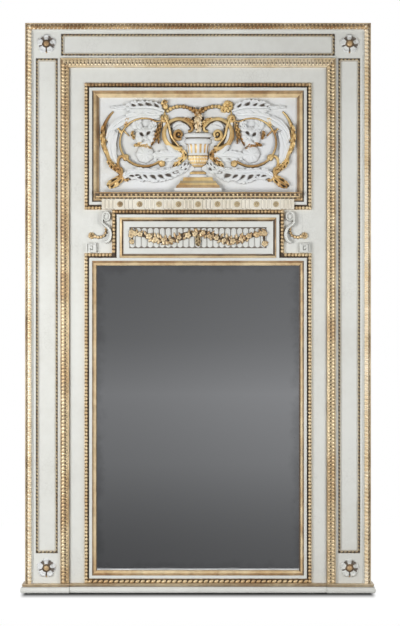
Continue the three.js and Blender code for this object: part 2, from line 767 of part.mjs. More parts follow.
// The urn: a turned bowl, fluted below its shoulder, that stands half out of the panel.
function drawUrn(draw) {
  const footRadius = 38;
  const waistRadius = 14;
  const fluteRadius = 42;
  const bandRadius = 54;
  const rimRadius = 58;
  const fluteLow = 150;
  const fluteTop = 196;
  const turned = [
    [0, 62],
    ...arc(footRadius - 6, 68, 6, 6, -90, 90, 1, 4),
    [28, 75],
    [31, 80],
    [26, 86],
    [waistRadius, 94],
    [waistRadius, 102],
    [24, 112],
    [34, 126],
    [40, 142],
    [fluteRadius, fluteLow],
    [fluteRadius + 4, fluteTop],
    [bandRadius - 2, 199],
    [bandRadius, 214],
    [48, 218],
    [48, 222],
    ...arc(rimRadius - 8, 231, 8, 9, -80, 90, 1, 4),
    [0, 240],
  ];
  const bowl = new THREE.LatheGeometry(turned.map(([r, y]) => new THREE.Vector2(r, y)), 40);
  const p = bowl.attributes.position;
  const fluteDepth = 0.07;
  const flutes = 14;
  const rimDepth = 24;
  const flattening = rimDepth / rimRadius;
  for (let i = 0; i < p.count; i++) {
    const fluted = p.getY(i) >= fluteLow && p.getY(i) <= fluteTop;
    const angle = Math.atan2(p.getZ(i), p.getX(i));
    const k = fluted ? 1 + fluteDepth * (Math.cos(flutes * angle) - 1) : 1;
    p.setXYZ(i, p.getX(i) * k, p.getY(i), p.getZ(i) * k * flattening);
  }
  const behind = box(-2 * rimRadius, 2 * rimRadius, 0, 5 * rimRadius, -2 * rimRadius, 0);
  draw("urn", cut(bowl, [behind]), paint);

  const steps = [
    { half: 95, top: 17, out: 24 },
    { half: 86, top: 24, out: 22 },
    { half: 80, top: 34, out: 20 },
    { half: 68, top: 44, out: 18 },
    { half: 56, top: 54, out: 16 },
    { half: 44, top: 62 - seat, out: 15 },
  ];
  let floor = 0;
  const pedestal = steps.map(({ half, top, out }) => {
    const step = box(-half, half, floor, top, 0, out);
    floor = top - seat;
    return step;
  });
  draw("urn_pedestal", join(pedestal), gilt);
}

function petalled(radius) {
  return (angle) => radius * (0.82 + 0.18 * Math.abs(Math.cos(2.5 * (angle - Math.PI / 2))));
}

function addCornerRosettes() {
  const x = (xStile + halfFrame - ropeWidth) / 2;
  const places = {
    upper: (yRail + frameHeight - ropeWidth) / 2,
    lower: yPlinth + footBlock / 2,
  };
  const relief = (r, angle) => {
    const eye = Math.max(0, 1 - r * 3.2);
    const ridge = 0.55 + 0.45 * Math.abs(Math.cos(2.5 * (angle - Math.PI / 2)));
    const petal = Math.sin(Math.PI * Math.min(1, r * 1.05)) * ridge;
    return rosetteRise * Math.max(0.22, 0.75 * petal, eye);
  };
  for (const [name, y] of Object.entries(places)) {
    const rosette = boss(-x, y, zStile + seat, 30, 5, petalled(rosetteRadius), relief);
    add("left_" + name + "_rosette", rosette, paint);
    add("right_" + name + "_rosette", rosette, paint).scale.x = -1;
  }
}

// The garland panel: a flat border round a sunk band of reeds, and a swag of flowers planted on it.
function addGarland({ inner, low, top }) {
  const half = inner - seat;
  const y0 = low + seat;
  const y1 = top - seat;
  const border = 21;
  const z1 = zOnField + garlandPanelThickness;
  const sunk = 3;
  const board = box(-half, half, y0, y1, zOnField, z1);
  const field = box(-half + border, half - border, y0 + border, y1 - border, z1 - sunk, z1 + 1);
  const pitch = (2 * (half - border)) / fluteCount;
  const middle = (y0 + y1) / 2;
  const reedHalf = (y1 - y0) / 2 - border - 1;
  const reeds = [];
  for (let i = 0; i < fluteCount; i++) {
    const x = (i - (fluteCount - 1) / 2) * pitch;
    const reed = new THREE.SphereGeometry(1, 6, 4).toNonIndexed();
    const p = reed.attributes.position;
    const radius = pitch * 0.44;
    const straight = reedHalf - radius;
    for (let k = 0; k < p.count; k++) {
      const end = Math.abs(p.getY(k)) < 1e-6 ? 0 : Math.sign(p.getY(k));
      p.setXYZ(k, p.getX(k) * radius, p.getY(k) * radius + end * straight, p.getZ(k) * sunk * 0.9);
    }
    reeds.push(reed.translate(x, middle, z1 - sunk));
  }
  const base = cut(board, [field]);
  add("garland_panel", join([base, ...reeds]), paint);

  const zSwag = z1 + seat;
  const reach = half - border - 12;
  const drop = reedHalf * 0.62;
  const height = (x) => {
    const u = Math.abs(x) / reach;
    return middle + drop * (0.25 + 0.75 * Math.cos(2 * Math.PI * u)) - drop * 0.15;
  };
  const count = 16;
  const line = [];
  for (let i = 0; i <= count; i++) {
    const x = -reach + (2 * reach * i) / count;
    line.push([x, height(x)]);
  }
  const pieces = [stem(line, [5, 5, 7, 9, 7, 6, 7, 9, 7, 5, 5], 28, 5, 0.6)];
  const blooms = 21;
  for (let i = 0; i < blooms; i++) {
    const x = -reach + (2 * reach * i) / (blooms - 1);
    const radius = 8 + 5 * Math.pow(Math.sin((2 * Math.PI * Math.abs(x)) / reach / 2), 2);
    const dome = (r) => garlandRise * (0.45 + 0.55 * (1 - r * r));
    pieces.push(boss(x, height(x) + (i % 2 ? 3 : -3), 0, 6, 1, () => radius, dome));
  }
  for (const sign of [-1, 1]) {
    const tail = [
      [sign * reach, height(reach)],
      [sign * (reach + 2), middle],
      [sign * reach, middle - drop * 0.9],
    ];
    pieces.push(stem(tail, [7, 8, 5], 5, 6, 0.7));
  }
  add("garland", join(pieces).translate(0, 0, zSwag), gilt);
}

// A scroll bracket beside the garland: a volute at the top, an S down to a square key block, and a
// gilt husk lying in its bend. Drawn from its own corner and fitted beside the garland frame.

// A flat scroll of carved wood with a hollowed face.
function band(points, widths, rise, steps) {
  const bevel = 1.2;
  const hollow = 0.16;
  return alongLine(points, steps, (t) => {
    const half = between(widths, t) / 2;
    return [
      [half, 0],
      [half, rise],
      [half - bevel, rise],
      [0, rise * (1 - hollow)],
      [bevel - half, rise],
      [-half, rise],
      [-half, 0],
    ];
  });
}

function addBrackets() {
  const volute = { x: 84, y: 141, across: 15, up: 23, halfBandAside: 5, halfBandAbove: 4 };
  const width = xFrame - xGarland - 2 * bracketClearance;
  const height = shoulderDrop - 2 * bracketClearance;
  const drawnWidth = volute.x + volute.across + volute.halfBandAside;
  const drawnHeight = volute.y + volute.up + volute.halfBandAbove;
  const fit = (geometry) =>
    geometry
      .scale(width / drawnWidth, height / drawnHeight, 1)
      .translate(-xFrame + bracketClearance, yShoulder + bracketClearance, zOnField);
  const body = [[44, 40], [58, 42], [76, 47], [90, 60], [95, 80], [91, 98], [80, 112], [66, 121]];
  const turn = arc(volute.x, volute.y, volute.across, volute.up, 200, -170, 0.72, 10);
  const scroll = [...body, ...turn];
  const widths = [11, 12, 13, 13, 12, 11, 10, 10, 9, 8, 6];
  const rise = bracketThickness;

  // the key block: a square whose face is cut with a line that turns inwards
  const key = { left: 6, size: 38, inset: 5, line: 2.5, depth: 8 };
  const slot = (x0, x1, y0, y1) => box(key.left + x0, key.left + x1, y0, y1, rise - key.depth, rise + 1);
  const low = key.inset;
  const high = key.size - key.inset;
  const inner = 2 * key.inset + key.line;
  const keyLines = [
    slot(low, high, high - key.line, high),
    slot(low, low + key.line, low, high - key.line / 2),
    slot(high - key.line, high, inner, high - key.line / 2),
    slot(inner, high - key.line / 2, inner, inner + key.line),
    slot(inner, inner + key.line, inner + key.line / 2, high - inner / 2),
  ];
  const pieces = [
    band(scroll, widths, rise, 34),
    box(key.left, key.left + key.size, 0, key.size, 0, rise - 3),
    box(key.left + 20, key.left + 48, key.size - 8, key.size + 6, 0, rise - 3),
  ];
  addPair("bracket", fit(cut(join(pieces), keyLines)), paint);

  // gilt husks that shrink along the inside of the bend
  const chain = [[78, 98], [81, 84], [79, 70], [68, 60], [52, 58], [36, 62], [20, 68]];
  const balls = 6;
  const husk = [stem(chain, [3, 4, 4, 4, 4, 5], 12, 5)];
  const line = new THREE.CatmullRomCurve3(chain.map(([x, y]) => new THREE.Vector3(x, y, 0)));
  for (let i = 0; i < balls; i++) {
    const { x, y } = line.getPoint((i + 0.5) / balls);
    const radius = 6 + (4 * i) / balls;
    husk.push(boss(x, y, 0, 7, 2, () => radius, (t) => 7 + 8 * (1 - t * t)));
  }
  const bracketRoom = band(scroll, widths.map((w) => w + 1), rise + 1, 34).translate(0, 0, -0.5);
  const keyRoom = box(key.left - 1, key.left + 49, -1, key.size + 7, -1, rise);
  addPair("bracket_husk", fit(cut(join(husk), [bracketRoom, keyRoom])), gilt);
}

// ---- plinth: a torus under a small fillet, broken forward under each side ----

function addPlinth() {
  const h = plinthHeight - plinthFillet;
  const profile = [
    [-2, 0],
    [plinthBulge * 0.4, h * 0.08],
    [plinthBulge * 0.85, h * 0.28],
    [plinthBulge, h * 0.55],
    [plinthBulge * 0.8, h * 0.84],
    [plinthBulge * 0.4, h],
    [0, h + 1],
    [1, plinthHeight - 2],
    [2, plinthHeight],
  ];
  const block = (x0, x1, front, bulgeLeft) =>
    skin(
      profile.map(([o, y]) => [
        [x0 - (bulgeLeft ? o : 0), y, 0],
        [x0 - (bulgeLeft ? o : 0), y, front + o],
        [x1, y, front + o],
        [x1, y, 0],
      ]),
    );
  const side = block(-halfFrame - plinthOverhang, -xField - seat, plinthFront, true);
  addPair("plinth_block", side, paint);
  add("plinth_middle", block(-xField, xField, plinthFront - plinthBreak, false), paint);
}

addBoards();
addInnerFrame();
addPlates();
addBattens();
addBorder();
addMirrorFrame();
const garlandSight = addGarlandFrame();
addReliefFrame();
addShelf();
addRelief();
addCornerRosettes();
addGarland(garlandSight);
addBrackets();
addPlinth();

// The elevation is stood upright: up becomes +Z and out from the wall becomes -Y.
model.rotation.x = Math.PI / 2;
model.position.y = overallDepth / 2;
const mirror = new THREE.Group();
mirror.add(model);

export default mirror;
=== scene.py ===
"""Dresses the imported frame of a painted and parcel-gilt trumeau mirror.

The boards, battens, mirror plate and panels stay as they are and get their finishes. Every moulding
and every carved piece is rebuilt over its plain solid: moulding strips with rows of carved units, the
relief of an urn between scrolling leaves, the garland, the brackets, the rosettes and the plinth.

Pieces are drawn as an elevation, in millimetres: across from the centre line, up from the floor and
out from the wall.
"""

import math
from collections import namedtuple

import bpy
import numpy as np
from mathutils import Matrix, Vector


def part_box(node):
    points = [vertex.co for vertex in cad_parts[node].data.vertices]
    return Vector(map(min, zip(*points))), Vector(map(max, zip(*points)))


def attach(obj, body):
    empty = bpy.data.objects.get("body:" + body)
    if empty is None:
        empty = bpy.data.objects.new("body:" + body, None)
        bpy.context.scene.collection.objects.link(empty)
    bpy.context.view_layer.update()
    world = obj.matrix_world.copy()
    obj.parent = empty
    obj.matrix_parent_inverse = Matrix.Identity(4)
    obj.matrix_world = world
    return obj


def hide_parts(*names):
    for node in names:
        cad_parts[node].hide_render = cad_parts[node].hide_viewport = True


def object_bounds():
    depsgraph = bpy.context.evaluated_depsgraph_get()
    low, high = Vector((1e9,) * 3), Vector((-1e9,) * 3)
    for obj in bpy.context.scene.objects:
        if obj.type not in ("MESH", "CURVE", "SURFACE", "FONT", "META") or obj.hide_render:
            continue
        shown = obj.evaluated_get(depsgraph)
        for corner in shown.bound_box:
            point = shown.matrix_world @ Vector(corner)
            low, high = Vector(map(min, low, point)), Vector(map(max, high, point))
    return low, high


bl_info = {
    "name": "Trumeau mirror",
    "version": (1, 0, 0),
    "blender": (4, 5, 0),
    "location": "View3D > Sidebar > Trumeau",
    "description": "Carving, mouldings and finishes of a painted and parcel-gilt trumeau mirror",
    "category": "Object",
}

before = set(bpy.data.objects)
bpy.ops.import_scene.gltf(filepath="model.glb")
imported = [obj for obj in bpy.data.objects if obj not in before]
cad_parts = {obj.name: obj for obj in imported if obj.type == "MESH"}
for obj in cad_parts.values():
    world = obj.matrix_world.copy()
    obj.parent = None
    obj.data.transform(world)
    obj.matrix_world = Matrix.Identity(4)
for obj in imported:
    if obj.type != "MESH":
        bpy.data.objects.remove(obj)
frame_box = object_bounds()

MM = 0.001
BODY = "root"
BOTH = ("left", "right")
WALL = frame_box[1].y

Extent = namedtuple("Extent", "left right low top back front")


def extent(node):
    """The edges of a frame node on the elevation, in millimetres."""
    low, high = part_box(node)
    edges = (low.x, high.x, low.z, high.z, WALL - high.y, WALL - low.y)
    return Extent(*(edge / MM for edge in edges))


SHARP_EDGE = math.radians(38)


# ---- drawing ----


class Shape:
    """Points and faces of one piece, with a mark from 0 to 1 for how dark a point is painted: for dirt, and
    for painted shade deep in hollows, in creases and on shaded sides.
    """

    def __init__(self):
        self.points = []
        self.hollow = []
        self.faces = []
        self.finishes = []
        self.count = 0

    def skin(self, rings, hollow=0.0, finish=0, loop=False):
        """Skins a row of equal closed rings, which run anticlockwise seen from the row's far end."""
        rings = np.asarray(rings, float)
        n, m = rings.shape[:2]
        index = self.count + np.arange(n * m).reshape(n, m)
        index = np.concatenate([index, index[:, :1]], axis=1)
        if loop:
            index = np.concatenate([index, index[:1]], axis=0)
        quads = np.stack([index[:-1, :-1], index[:-1, 1:], index[1:, 1:], index[1:, :-1]], axis=-1)
        marks = np.broadcast_to(finish, quads.shape[:2])
        self.faces += quads.reshape(-1, 4).tolist()
        self.finishes += marks.ravel().tolist()
        if not loop:
            self.faces += [index[0, :-1][::-1].tolist(), index[-1, :-1].tolist()]
            self.finishes += [int(marks[0, 0]), int(marks[-1, 0])]
        self.points.append(rings.reshape(-1, 3))
        self.hollow.append(np.broadcast_to(hollow, (n, m)).ravel())
        self.count += n * m

    def mirrored(self):
        """The same shape on the other side of the centre line."""
        other = Shape()
        other.points = [points * (-1, 1, 1) for points in self.points]
        other.hollow = list(self.hollow)
        other.faces = [face[::-1] for face in self.faces]
        other.finishes = list(self.finishes)
        other.count = self.count
        return other

    def moved(self, scale=(1, 1, 1), shift=(0, 0, 0)):
        """The same shape, scaled and then moved."""
        self.points = [points * scale + shift for points in self.points]
        return self

    def mesh(self, name, placed=True):
        """The shape as a mesh: placed in the room, or lying at the origin as a carved unit does."""
        points = np.concatenate(self.points)
        if placed:
            points = np.stack([points[:, 0], WALL / MM - points[:, 2], points[:, 1]], axis=1)
        mesh = bpy.data.meshes.new(name)
        mesh.from_pydata((points * MM).tolist(), [], self.faces)
        mesh.polygons.foreach_set("material_index", self.finishes)
        mark = mesh.attributes.new("hollow", "FLOAT", "POINT")
        mark.data.foreach_set("value", np.concatenate(self.hollow).astype(np.float32))
        mesh.shade_smooth()
        mesh.set_sharp_from_angle(angle=SHARP_EDGE)
        mesh.validate()
        return mesh


def in_scene(piece):
    """Links an object into the scene, and gives it back."""
    bpy.context.scene.collection.objects.link(piece)
    return piece


def dress(name, shape, finishes, node=None):
    """Puts a shape in the scene as a piece of the object, standing for a frame node if one is named."""
    mesh = shape.mesh(name)
    piece = in_scene(bpy.data.objects.new(name, mesh))
    for finish in finishes:
        mesh.materials.append(shared_finishes()[finish])
    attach(piece, BODY)
    if node:
        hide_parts(node)


def smooth_line(points, steps):
    """Places, directions and left-hand sides at even steps along a smooth line through the points."""
    p = np.asarray(points, float)
    span = np.sqrt(np.maximum(np.linalg.norm(np.diff(p, axis=0), axis=1), 1e-6))
    knots = np.concatenate([[0], np.cumsum(span)])
    chord = np.diff(p, axis=0) / span[:, None]
    slope = np.empty_like(p)
    weight = (span[:-1] + span[1:])[:, None]
    slope[1:-1] = (chord[:-1] * span[1:, None] + chord[1:] * span[:-1, None]) / weight
    slope[0], slope[-1] = chord[0], chord[-1]
    at = np.linspace(0, knots[-1], 24 * len(p))
    k = np.clip(np.searchsorted(knots, at, side="right") - 1, 0, len(span) - 1)
    s = ((at - knots[k]) / span[k])[:, None]
    run = span[k][:, None]
    dense = (
        (2 * s**3 - 3 * s**2 + 1) * p[k]
        + (s**3 - 2 * s**2 + s) * run * slope[k]
        + (3 * s**2 - 2 * s**3) * p[k + 1]
        + (s**3 - s**2) * run * slope[k + 1]
    )
    length = np.concatenate([[0], np.cumsum(np.linalg.norm(np.diff(dense, axis=0), axis=1))])
    even = np.linspace(0, length[-1], steps + 1)
    place = np.stack([np.interp(even, length, dense[:, i]) for i in (0, 1)], axis=1)
    along = np.gradient(place, axis=0)
    along /= np.linalg.norm(along, axis=1)[:, None]
    return place, along, np.stack([-along[:, 1], along[:, 0]], axis=1)


def arc(cx, cy, rx, ry, start, end, growth=1.0, count=8):
    """Points along part of an ellipse, whose radius grows by the given factor on the way."""
    t = np.linspace(0, 1, count + 1)
    angle = np.radians(start + (end - start) * t)
    size = 1 + (growth - 1) * t
    return np.stack([cx + rx * size * np.cos(angle), cy + ry * size * np.sin(angle)], 1).tolist()


def between(values, t):
    """Values read off a short list of evenly spaced ones."""
    return np.interp(t, np.linspace(0, 1, len(values)), values)


def ease(low, high, x):
    """A smooth step from 0 to 1 between two values."""
    t = np.clip((x - low) / (high - low), 0, 1)
    return t * t * (3 - 2 * t)


def hump(x, middle, width):
    """A smooth hump of height 1."""
    return np.exp(-(((x - middle) / width) ** 2))


def dome(r):
    """The height of a round dome of height 1, at a radius from 0 to 1."""
    return np.sqrt(np.maximum(1 - r * r, 0))


def along_line(shape, points, steps, section, finish=0):
    """Sweeps a flat-backed section along a smooth line. The section is given, for places from 0 to 1,
    as offsets to the left, forwards and out, and as dirt-and-shade marks, from its left edge to its right."""
    place, along, left = smooth_line(points, steps)
    t = np.linspace(0, 1, steps + 1)[:, None]
    aside, ahead, out, hollow = (np.broadcast_to(v, np.broadcast(t, v).shape) for v in section(t))
    flat = place[:, None] + left[:, None] * aside[..., None] + along[:, None] * ahead[..., None]
    top = np.concatenate([flat, out[..., None]], axis=2)
    base = top[:, [-1, 0]] * (1, 1, 0)
    rings = np.concatenate([top, base], axis=1)
    # The flat back's edges are painted darker, as the shade where the section meets its ground.
    marks = np.concatenate([hollow, np.ones((len(rings), 2)) * 0.6], axis=1)
    shape.skin(rings, marks, finish)


def stem(shape, points, radii, steps, lift=0.6, finish=0, ridge=0.0, sides=9, shade=0.0):
    """A tapering half-round stem, raised on its own edge, with an optional ridge along its crown and
    an optional band of painted shade along its left side, or its right side for a shade below 0."""
    angle = np.linspace(0, math.pi, sides)[None]

    def section(t):
        radius = between(radii, t)
        crown = 1 + ridge * hump(angle, math.pi / 2, 0.35) - ridge * 0.5
        shade_band = ease(0.1, 0.75, np.cos(angle) * np.sign(shade)) * abs(shade)
        out = radius * (lift + np.sin(angle) * crown) * (1 - 0.45 * shade_band)
        # Painted shade: the stem's edges darken where it meets its ground, and its shade band darkens one
        # side.
        hollow = np.clip(0.85 * (1 - np.sin(angle)) ** 3 + shade_band, 0, 1) + 0 * t
        return radius * np.cos(angle), 0 * radius * angle, out, hollow

    along_line(shape, points, steps, section, finish)


def acanthus(shape, points, left, right, rise, lobes, finish=0, eyes=(1, 1), seed=1, sweep=0.7, tip=0.3):
    """A broad carved acanthus leaf: overlapping lobes that sweep forwards, each with a few rippled
    tips, and drilled teardrop eyes where one lobe passes under the next, as deep on either side as
    the two eyes say."""
    chance = np.random.default_rng(seed)
    across = np.linspace(1, -1, 31)[None]
    reach = np.abs(across)
    side = (across < 0).astype(int)
    depths = np.broadcast_to(eyes, 2)[:, None]
    drill = chance.uniform(0.75, 1.0, (2, lobes + 2)) * depths
    wide = chance.uniform(0.9, 1.6, (2, lobes + 2))
    vary = chance.uniform(0.82, 1.1, (2, lobes + 2))

    def section(t):
        body = tip + (1 - tip) * np.sin(math.pi * (0.16 + 0.84 * t) ** 0.9) ** 0.6
        place = lobes * t + 0.45 * side
        lobe = np.floor(place).astype(int)
        p = place - lobe
        one = np.broadcast_to(side, p.shape)
        edge = np.minimum(p, 1 - p)
        lobed = (0.74 + 0.26 * np.sin(math.pi * p**0.8) ** 0.6) * vary[one, lobe]
        lobed = lobed + 0.05 * np.cos(6 * math.pi * p) - 0.16 * hump(edge, 0, 0.06)
        width = np.where(across > 0, left, right) * body
        aside = across * width * (1 + (lobed - 1) * reach**1.4)
        ahead = sweep * width * reach**1.8 * (0.7 + 0.6 * p)
        near = np.minimum(np.where(p > 0.5, lobe + 1, lobe), lobes + 1)
        taper = (0.05 + 0.2 * (1 - ease(0.45, 0.95, reach))) * wide[one, near]
        eye = hump(edge, 0, taper) * ease(0.24, 0.36, reach) * (1 - ease(0.84, 0.99, reach))
        slit = hump(edge, 0, 0.06) * ease(0.4, 0.6, reach)
        eye = eye * drill[one, near]
        dome = 0.7 + 0.3 * np.sin(math.pi * np.clip(reach * 0.85 + 0.2, 0, 1))
        lap = 0.3 * reach * (p - 0.5) + 0.1 * reach * np.sin(math.pi * p)
        veins = 0.035 * np.cos(6 * math.pi * p) * ease(0.3, 0.8, reach)
        midrib = 0.16 * hump(reach, 0, 0.1)
        curl = 0.2 * hump(t, 0.9, 0.09) + 0.16 * ease(0.72, 1.0, reach)
        out = rise * (0.5 + 0.5 * body) * (dome + lap + veins + curl - midrib - 0.7 * eye - 0.2 * slit)
        out = np.maximum(out, 1.2)
        # The eyes, the slits and the midrib are painted dark, as the shade in them.
        hollow = 1.5 * eye + 0.5 * slit * (0.3 + depths[one, 0]) + 0.08 * hump(reach, 0, 0.06)
        return aside, ahead, out, np.clip(hollow, 0, 1)

    along_line(shape, points, lobes * 18, section, finish)


def boss(shape, x, y, radius, height, rings=7, sectors=36, back=0.0, finish=0, hollow=None):
    """A round carved boss. Radius is given for an angle, and height and the dirt-and-shade mark for a
    radius from 0 to 1 and an angle. Without a mark, its rim is painted darker as shade."""
    angle = np.linspace(0, 2 * math.pi, sectors, endpoint=False)
    r = np.linspace(1, 0.03, rings)[:, None]
    outline = np.broadcast_to(radius(angle), angle.shape)
    flat = np.stack([x + r * outline * np.cos(angle), y + r * outline * np.sin(angle)], axis=2)
    out = back + np.broadcast_to(height(r, angle), flat.shape[:2])
    top = np.concatenate([flat, out[..., None]], axis=2)
    base = top[:1].copy()
    base[..., 2] = back
    marks = np.broadcast_to(hollow(r, angle) if hollow else 0.5 * r**4, flat.shape[:2])
    shape.skin(np.concatenate([base, top]), np.concatenate([marks[:1], marks]), finish)


def plate(shape, x0, x1, y0, y1, columns, rows, back, surface):
    """A board whose face is carved: surface gives height and the dirt-and-shade mark for places across and
    up.
    """
    x = np.linspace(x0, x1, columns + 1)[:, None]
    y = np.linspace(y1, y0, rows + 1)[None]
    out, hollow = surface(x, y)
    grid = np.broadcast_shapes(x.shape, y.shape)
    top = np.stack([np.broadcast_to(v, grid) for v in (x, y, out)], axis=2)
    base = top[:, [-1, 0]].copy()
    base[..., 2] = back
    marks = np.concatenate([np.broadcast_to(hollow, grid), np.zeros((columns + 1, 2))], axis=1)
    shape.skin(np.concatenate([top, base], axis=1), marks)


# ---- mouldings ----


class Profile:
    """The section of a moulding, from its outer edge over its face to its inner edge."""

    def __init__(self):
        self.points = []
        self.finishes = []
        self.hollow = []

    def band(self, points, finish, hollow=0.0):
        """Adds a band of the section, with one finish."""
        self.points += points
        self.finishes += [finish] * len(points)
        self.hollow += np.broadcast_to(hollow, len(points)).tolist()


# For each side of a rectangle, the way inwards across and up.
SIDES = {"left": (1, 0), "right": (-1, 0), "top": (0, -1), "bottom": (0, 1)}


LONGEST_CELL = 90


def strip(shape, profile, side, box, level, slopes=(1, 1)):
    """Runs a profile along one side of a rectangle (left, right, low, top), face inwards and out. A
    slope of 1 mitres an end for an inner corner, -1 for an outer one, and 0 leaves it square."""
    left, right, low, top = box
    inward = np.array(SIDES[side], float)
    along = np.array([inward[1], -inward[0]])
    start = {"left": (left, top), "right": (right, low), "top": (right, top), "bottom": (left, low)}
    length = top - low if inward[0] else right - left
    m = len(profile.points)
    section = np.array(profile.points)[::-1]
    finishes = np.concatenate([profile.finishes[: m - 1][::-1], profile.finishes[m - 1 :]])
    marks = np.array(profile.hollow)[::-1]
    cells = max(1, int(length / LONGEST_CELL))
    rings = []
    for k in range(cells + 1):
        share = k / cells
        ends = slopes[0] * section[:, 0], length - slopes[1] * section[:, 0]
        run = ends[0] * (1 - share) + ends[1] * share
        flat = np.array(start[side]) + np.outer(run, along) + np.outer(section[:, 0], inward)
        rings.append(np.column_stack([flat, level + section[:, 1]]))
    shape.skin(rings, marks[None], finishes[None])


def run_moulding(name, node, profiles, side, box, level, finishes, slopes=(1, 1)):
    """Runs profiles along one side of a rectangle, as a piece that stands for a frame node."""
    shape = Shape()
    for profile in profiles:
        strip(shape, profile, side, box, level, slopes)
    dress(name, shape, finishes, node)


def side_length(side, box):
    """The length of one side of a rectangle."""
    left, right, low, top = box
    return right - left if side in ("top", "bottom") else top - low


def run_line(side, box, inset, level, gaps):
    """The line of a row of units along one side of a rectangle: clockwise, inset from its edge, with
    a gap before and after it."""
    left, right, low, top = box
    a, b = gaps
    ends = {
        "left": [(left + inset, low + a), (left + inset, top - b)],
        "top": [(left + a, top - inset), (right - b, top - inset)],
        "right": [(right - inset, top - a), (right - inset, low + b)],
        "bottom": [(right - a, low + inset), (left + b, low + inset)],
    }
    return [(x, y, level) for x, y in ends[side]]


# ---- node trees ----


class Graph:
    """Adds nodes to a tree. An input is given a value, a socket to link, or a socket and its index."""

    def __init__(self, tree):
        self.tree = tree

    def feed(self, socket, value):
        """Links a socket into an input, or sets the input's value."""
        if isinstance(value, bpy.types.NodeSocket):
            self.tree.links.new(value, socket)
        else:
            socket.default_value = value

    def add(self, kind, inputs=None, **settings):
        """Adds a node and gives all its outputs."""
        node = self.tree.nodes.new(kind)
        for key, value in settings.items():
            setattr(node, key, value)
        for key, value in (inputs or {}).items():
            if isinstance(value, tuple) and isinstance(value[0], bpy.types.NodeSocket):
                value, key = value
            self.feed(node.inputs[key], value)
        return node.outputs

    def first(self, kind, inputs=None, **settings):
        """Adds a node and gives its first output."""
        return self.add(kind, inputs, **settings)[0]

    def math(self, operation, a, b=0.0, clamp=False):
        return self.first("ShaderNodeMath", {0: a, 1: b}, operation=operation, use_clamp=clamp)

    def plus(self, a, b, clamp=False):
        return self.math("ADD", a, b, clamp)

    def less(self, a, b):
        return self.math("SUBTRACT", a, b)

    def times(self, a, b, clamp=False):
        return self.math("MULTIPLY", a, b, clamp)

    def vector(self, operation, a, b=(0.0, 0.0, 0.0)):
        return self.first("ShaderNodeVectorMath", {0: a, 1: b}, operation=operation)

    def mix(self, share, a, b):
        """A mix of two colours."""
        return self.add("ShaderNodeMix", {0: share, 6: a, 7: b}, data_type="RGBA")[2]

    def noise(self, place, scale, detail=3.0, roughness=0.55, distortion=0.0):
        """Noise from about 0.25 to 0.75."""
        inputs = {"Vector": place, "Scale": scale, "Detail": detail, "Roughness": roughness}
        return self.first("ShaderNodeTexNoise", {**inputs, "Distortion": distortion})

    def band(self, value, low, high, to_low=0.0, to_high=1.0):
        """A value between two limits, spread smoothly over a new range."""
        inputs = {0: value, 1: low, 2: high, 3: to_low, 4: to_high}
        return self.first("ShaderNodeMapRange", inputs, interpolation_type="SMOOTHSTEP")


def colour(code):
    """A colour written as a web code, as linear values."""
    values = [int(code[i : i + 2], 16) / 255 for i in (0, 2, 4)]
    linear = [v / 12.92 if v <= 0.04045 else ((v + 0.055) / 1.055) ** 2.4 for v in values]
    return (*linear, 1.0)


def chosen_colour(name):
    """A colour of the finishes' settings, with its alpha."""
    return (*getattr(bpy.context.scene.trumeau_finishes, name), 1.0)


# ---- shared shader groups ----


def shader_group(name, values, colours, outputs):
    """An empty shader group, with its graph and its inputs: a place, a few values and colours."""
    tree = bpy.data.node_groups.new(name, "ShaderNodeTree")
    tree.interface.new_socket("Place", in_out="INPUT", socket_type="NodeSocketVector")
    for socket, default in values.items():
        made = tree.interface.new_socket(socket, in_out="INPUT", socket_type="NodeSocketFloat")
        made.default_value = default
    for socket in colours:
        tree.interface.new_socket(socket, in_out="INPUT", socket_type="NodeSocketColor")
    for socket in outputs:
        kind = "NodeSocketColor" if socket == "Colour" else "NodeSocketFloat"
        tree.interface.new_socket(socket, in_out="OUTPUT", socket_type=kind)
    graph = Graph(tree)
    return graph, graph.add("NodeGroupInput")


def aged_paint():
    """Old distemper over gesso: mottled, faintly crackled, yellowed, with spots of grime, and with grime and
    painted shade in its hollows.
    """
    values = {"Hollow": 0.0, "Grime amount": 0.3, "Crackle": 0.3}
    outputs = ("Colour", "Roughness", "Height")
    graph, given = shader_group("aged paint", values, ("Paint", "Shade", "Grime"), outputs)
    place = given["Place"]
    cloud = graph.noise(place, 2.6, 4.0, 0.6)
    brush = graph.noise(place, 38.0, 5.0, 0.6)
    fine = graph.noise(place, 240.0, 3.0, 0.6)
    tone = graph.plus(cloud, graph.times(brush, 0.35))
    base = graph.mix(graph.band(tone, 0.5, 0.95), given["Paint"], given["Shade"])
    voronoi = {"Vector": place, "Scale": 75.0}
    cells = graph.first("ShaderNodeTexVoronoi", voronoi, feature="DISTANCE_TO_EDGE")
    lines = graph.less(1.0, graph.band(cells, 0.0, 0.05))
    patchy = graph.band(graph.noise(place, 6.0, 2.0), 0.5, 0.68)
    crack = graph.times(graph.times(lines, patchy), given["Crackle"])
    spots = graph.band(graph.noise(place, 52.0, 4.0, 0.7), 0.66, 0.76)
    # Hollows darken towards the grime colour: partly dirt, partly painted shade.
    sunk = graph.band(given["Hollow"], 0.12, 0.85)
    grime = graph.plus(graph.times(spots, given["Grime amount"]), sunk, clamp=True)
    grime = graph.plus(grime, graph.times(crack, 0.5), clamp=True)
    aged = graph.mix(graph.times(grime, 0.92), base, given["Grime"])
    rough = graph.band(brush, 0.3, 0.7, 0.5, 0.68)
    height = graph.less(graph.plus(brush, graph.times(fine, 0.35)), crack)
    graph.add("NodeGroupOutput", {"Colour": aged, "Roughness": rough, "Height": height})
    return graph.tree


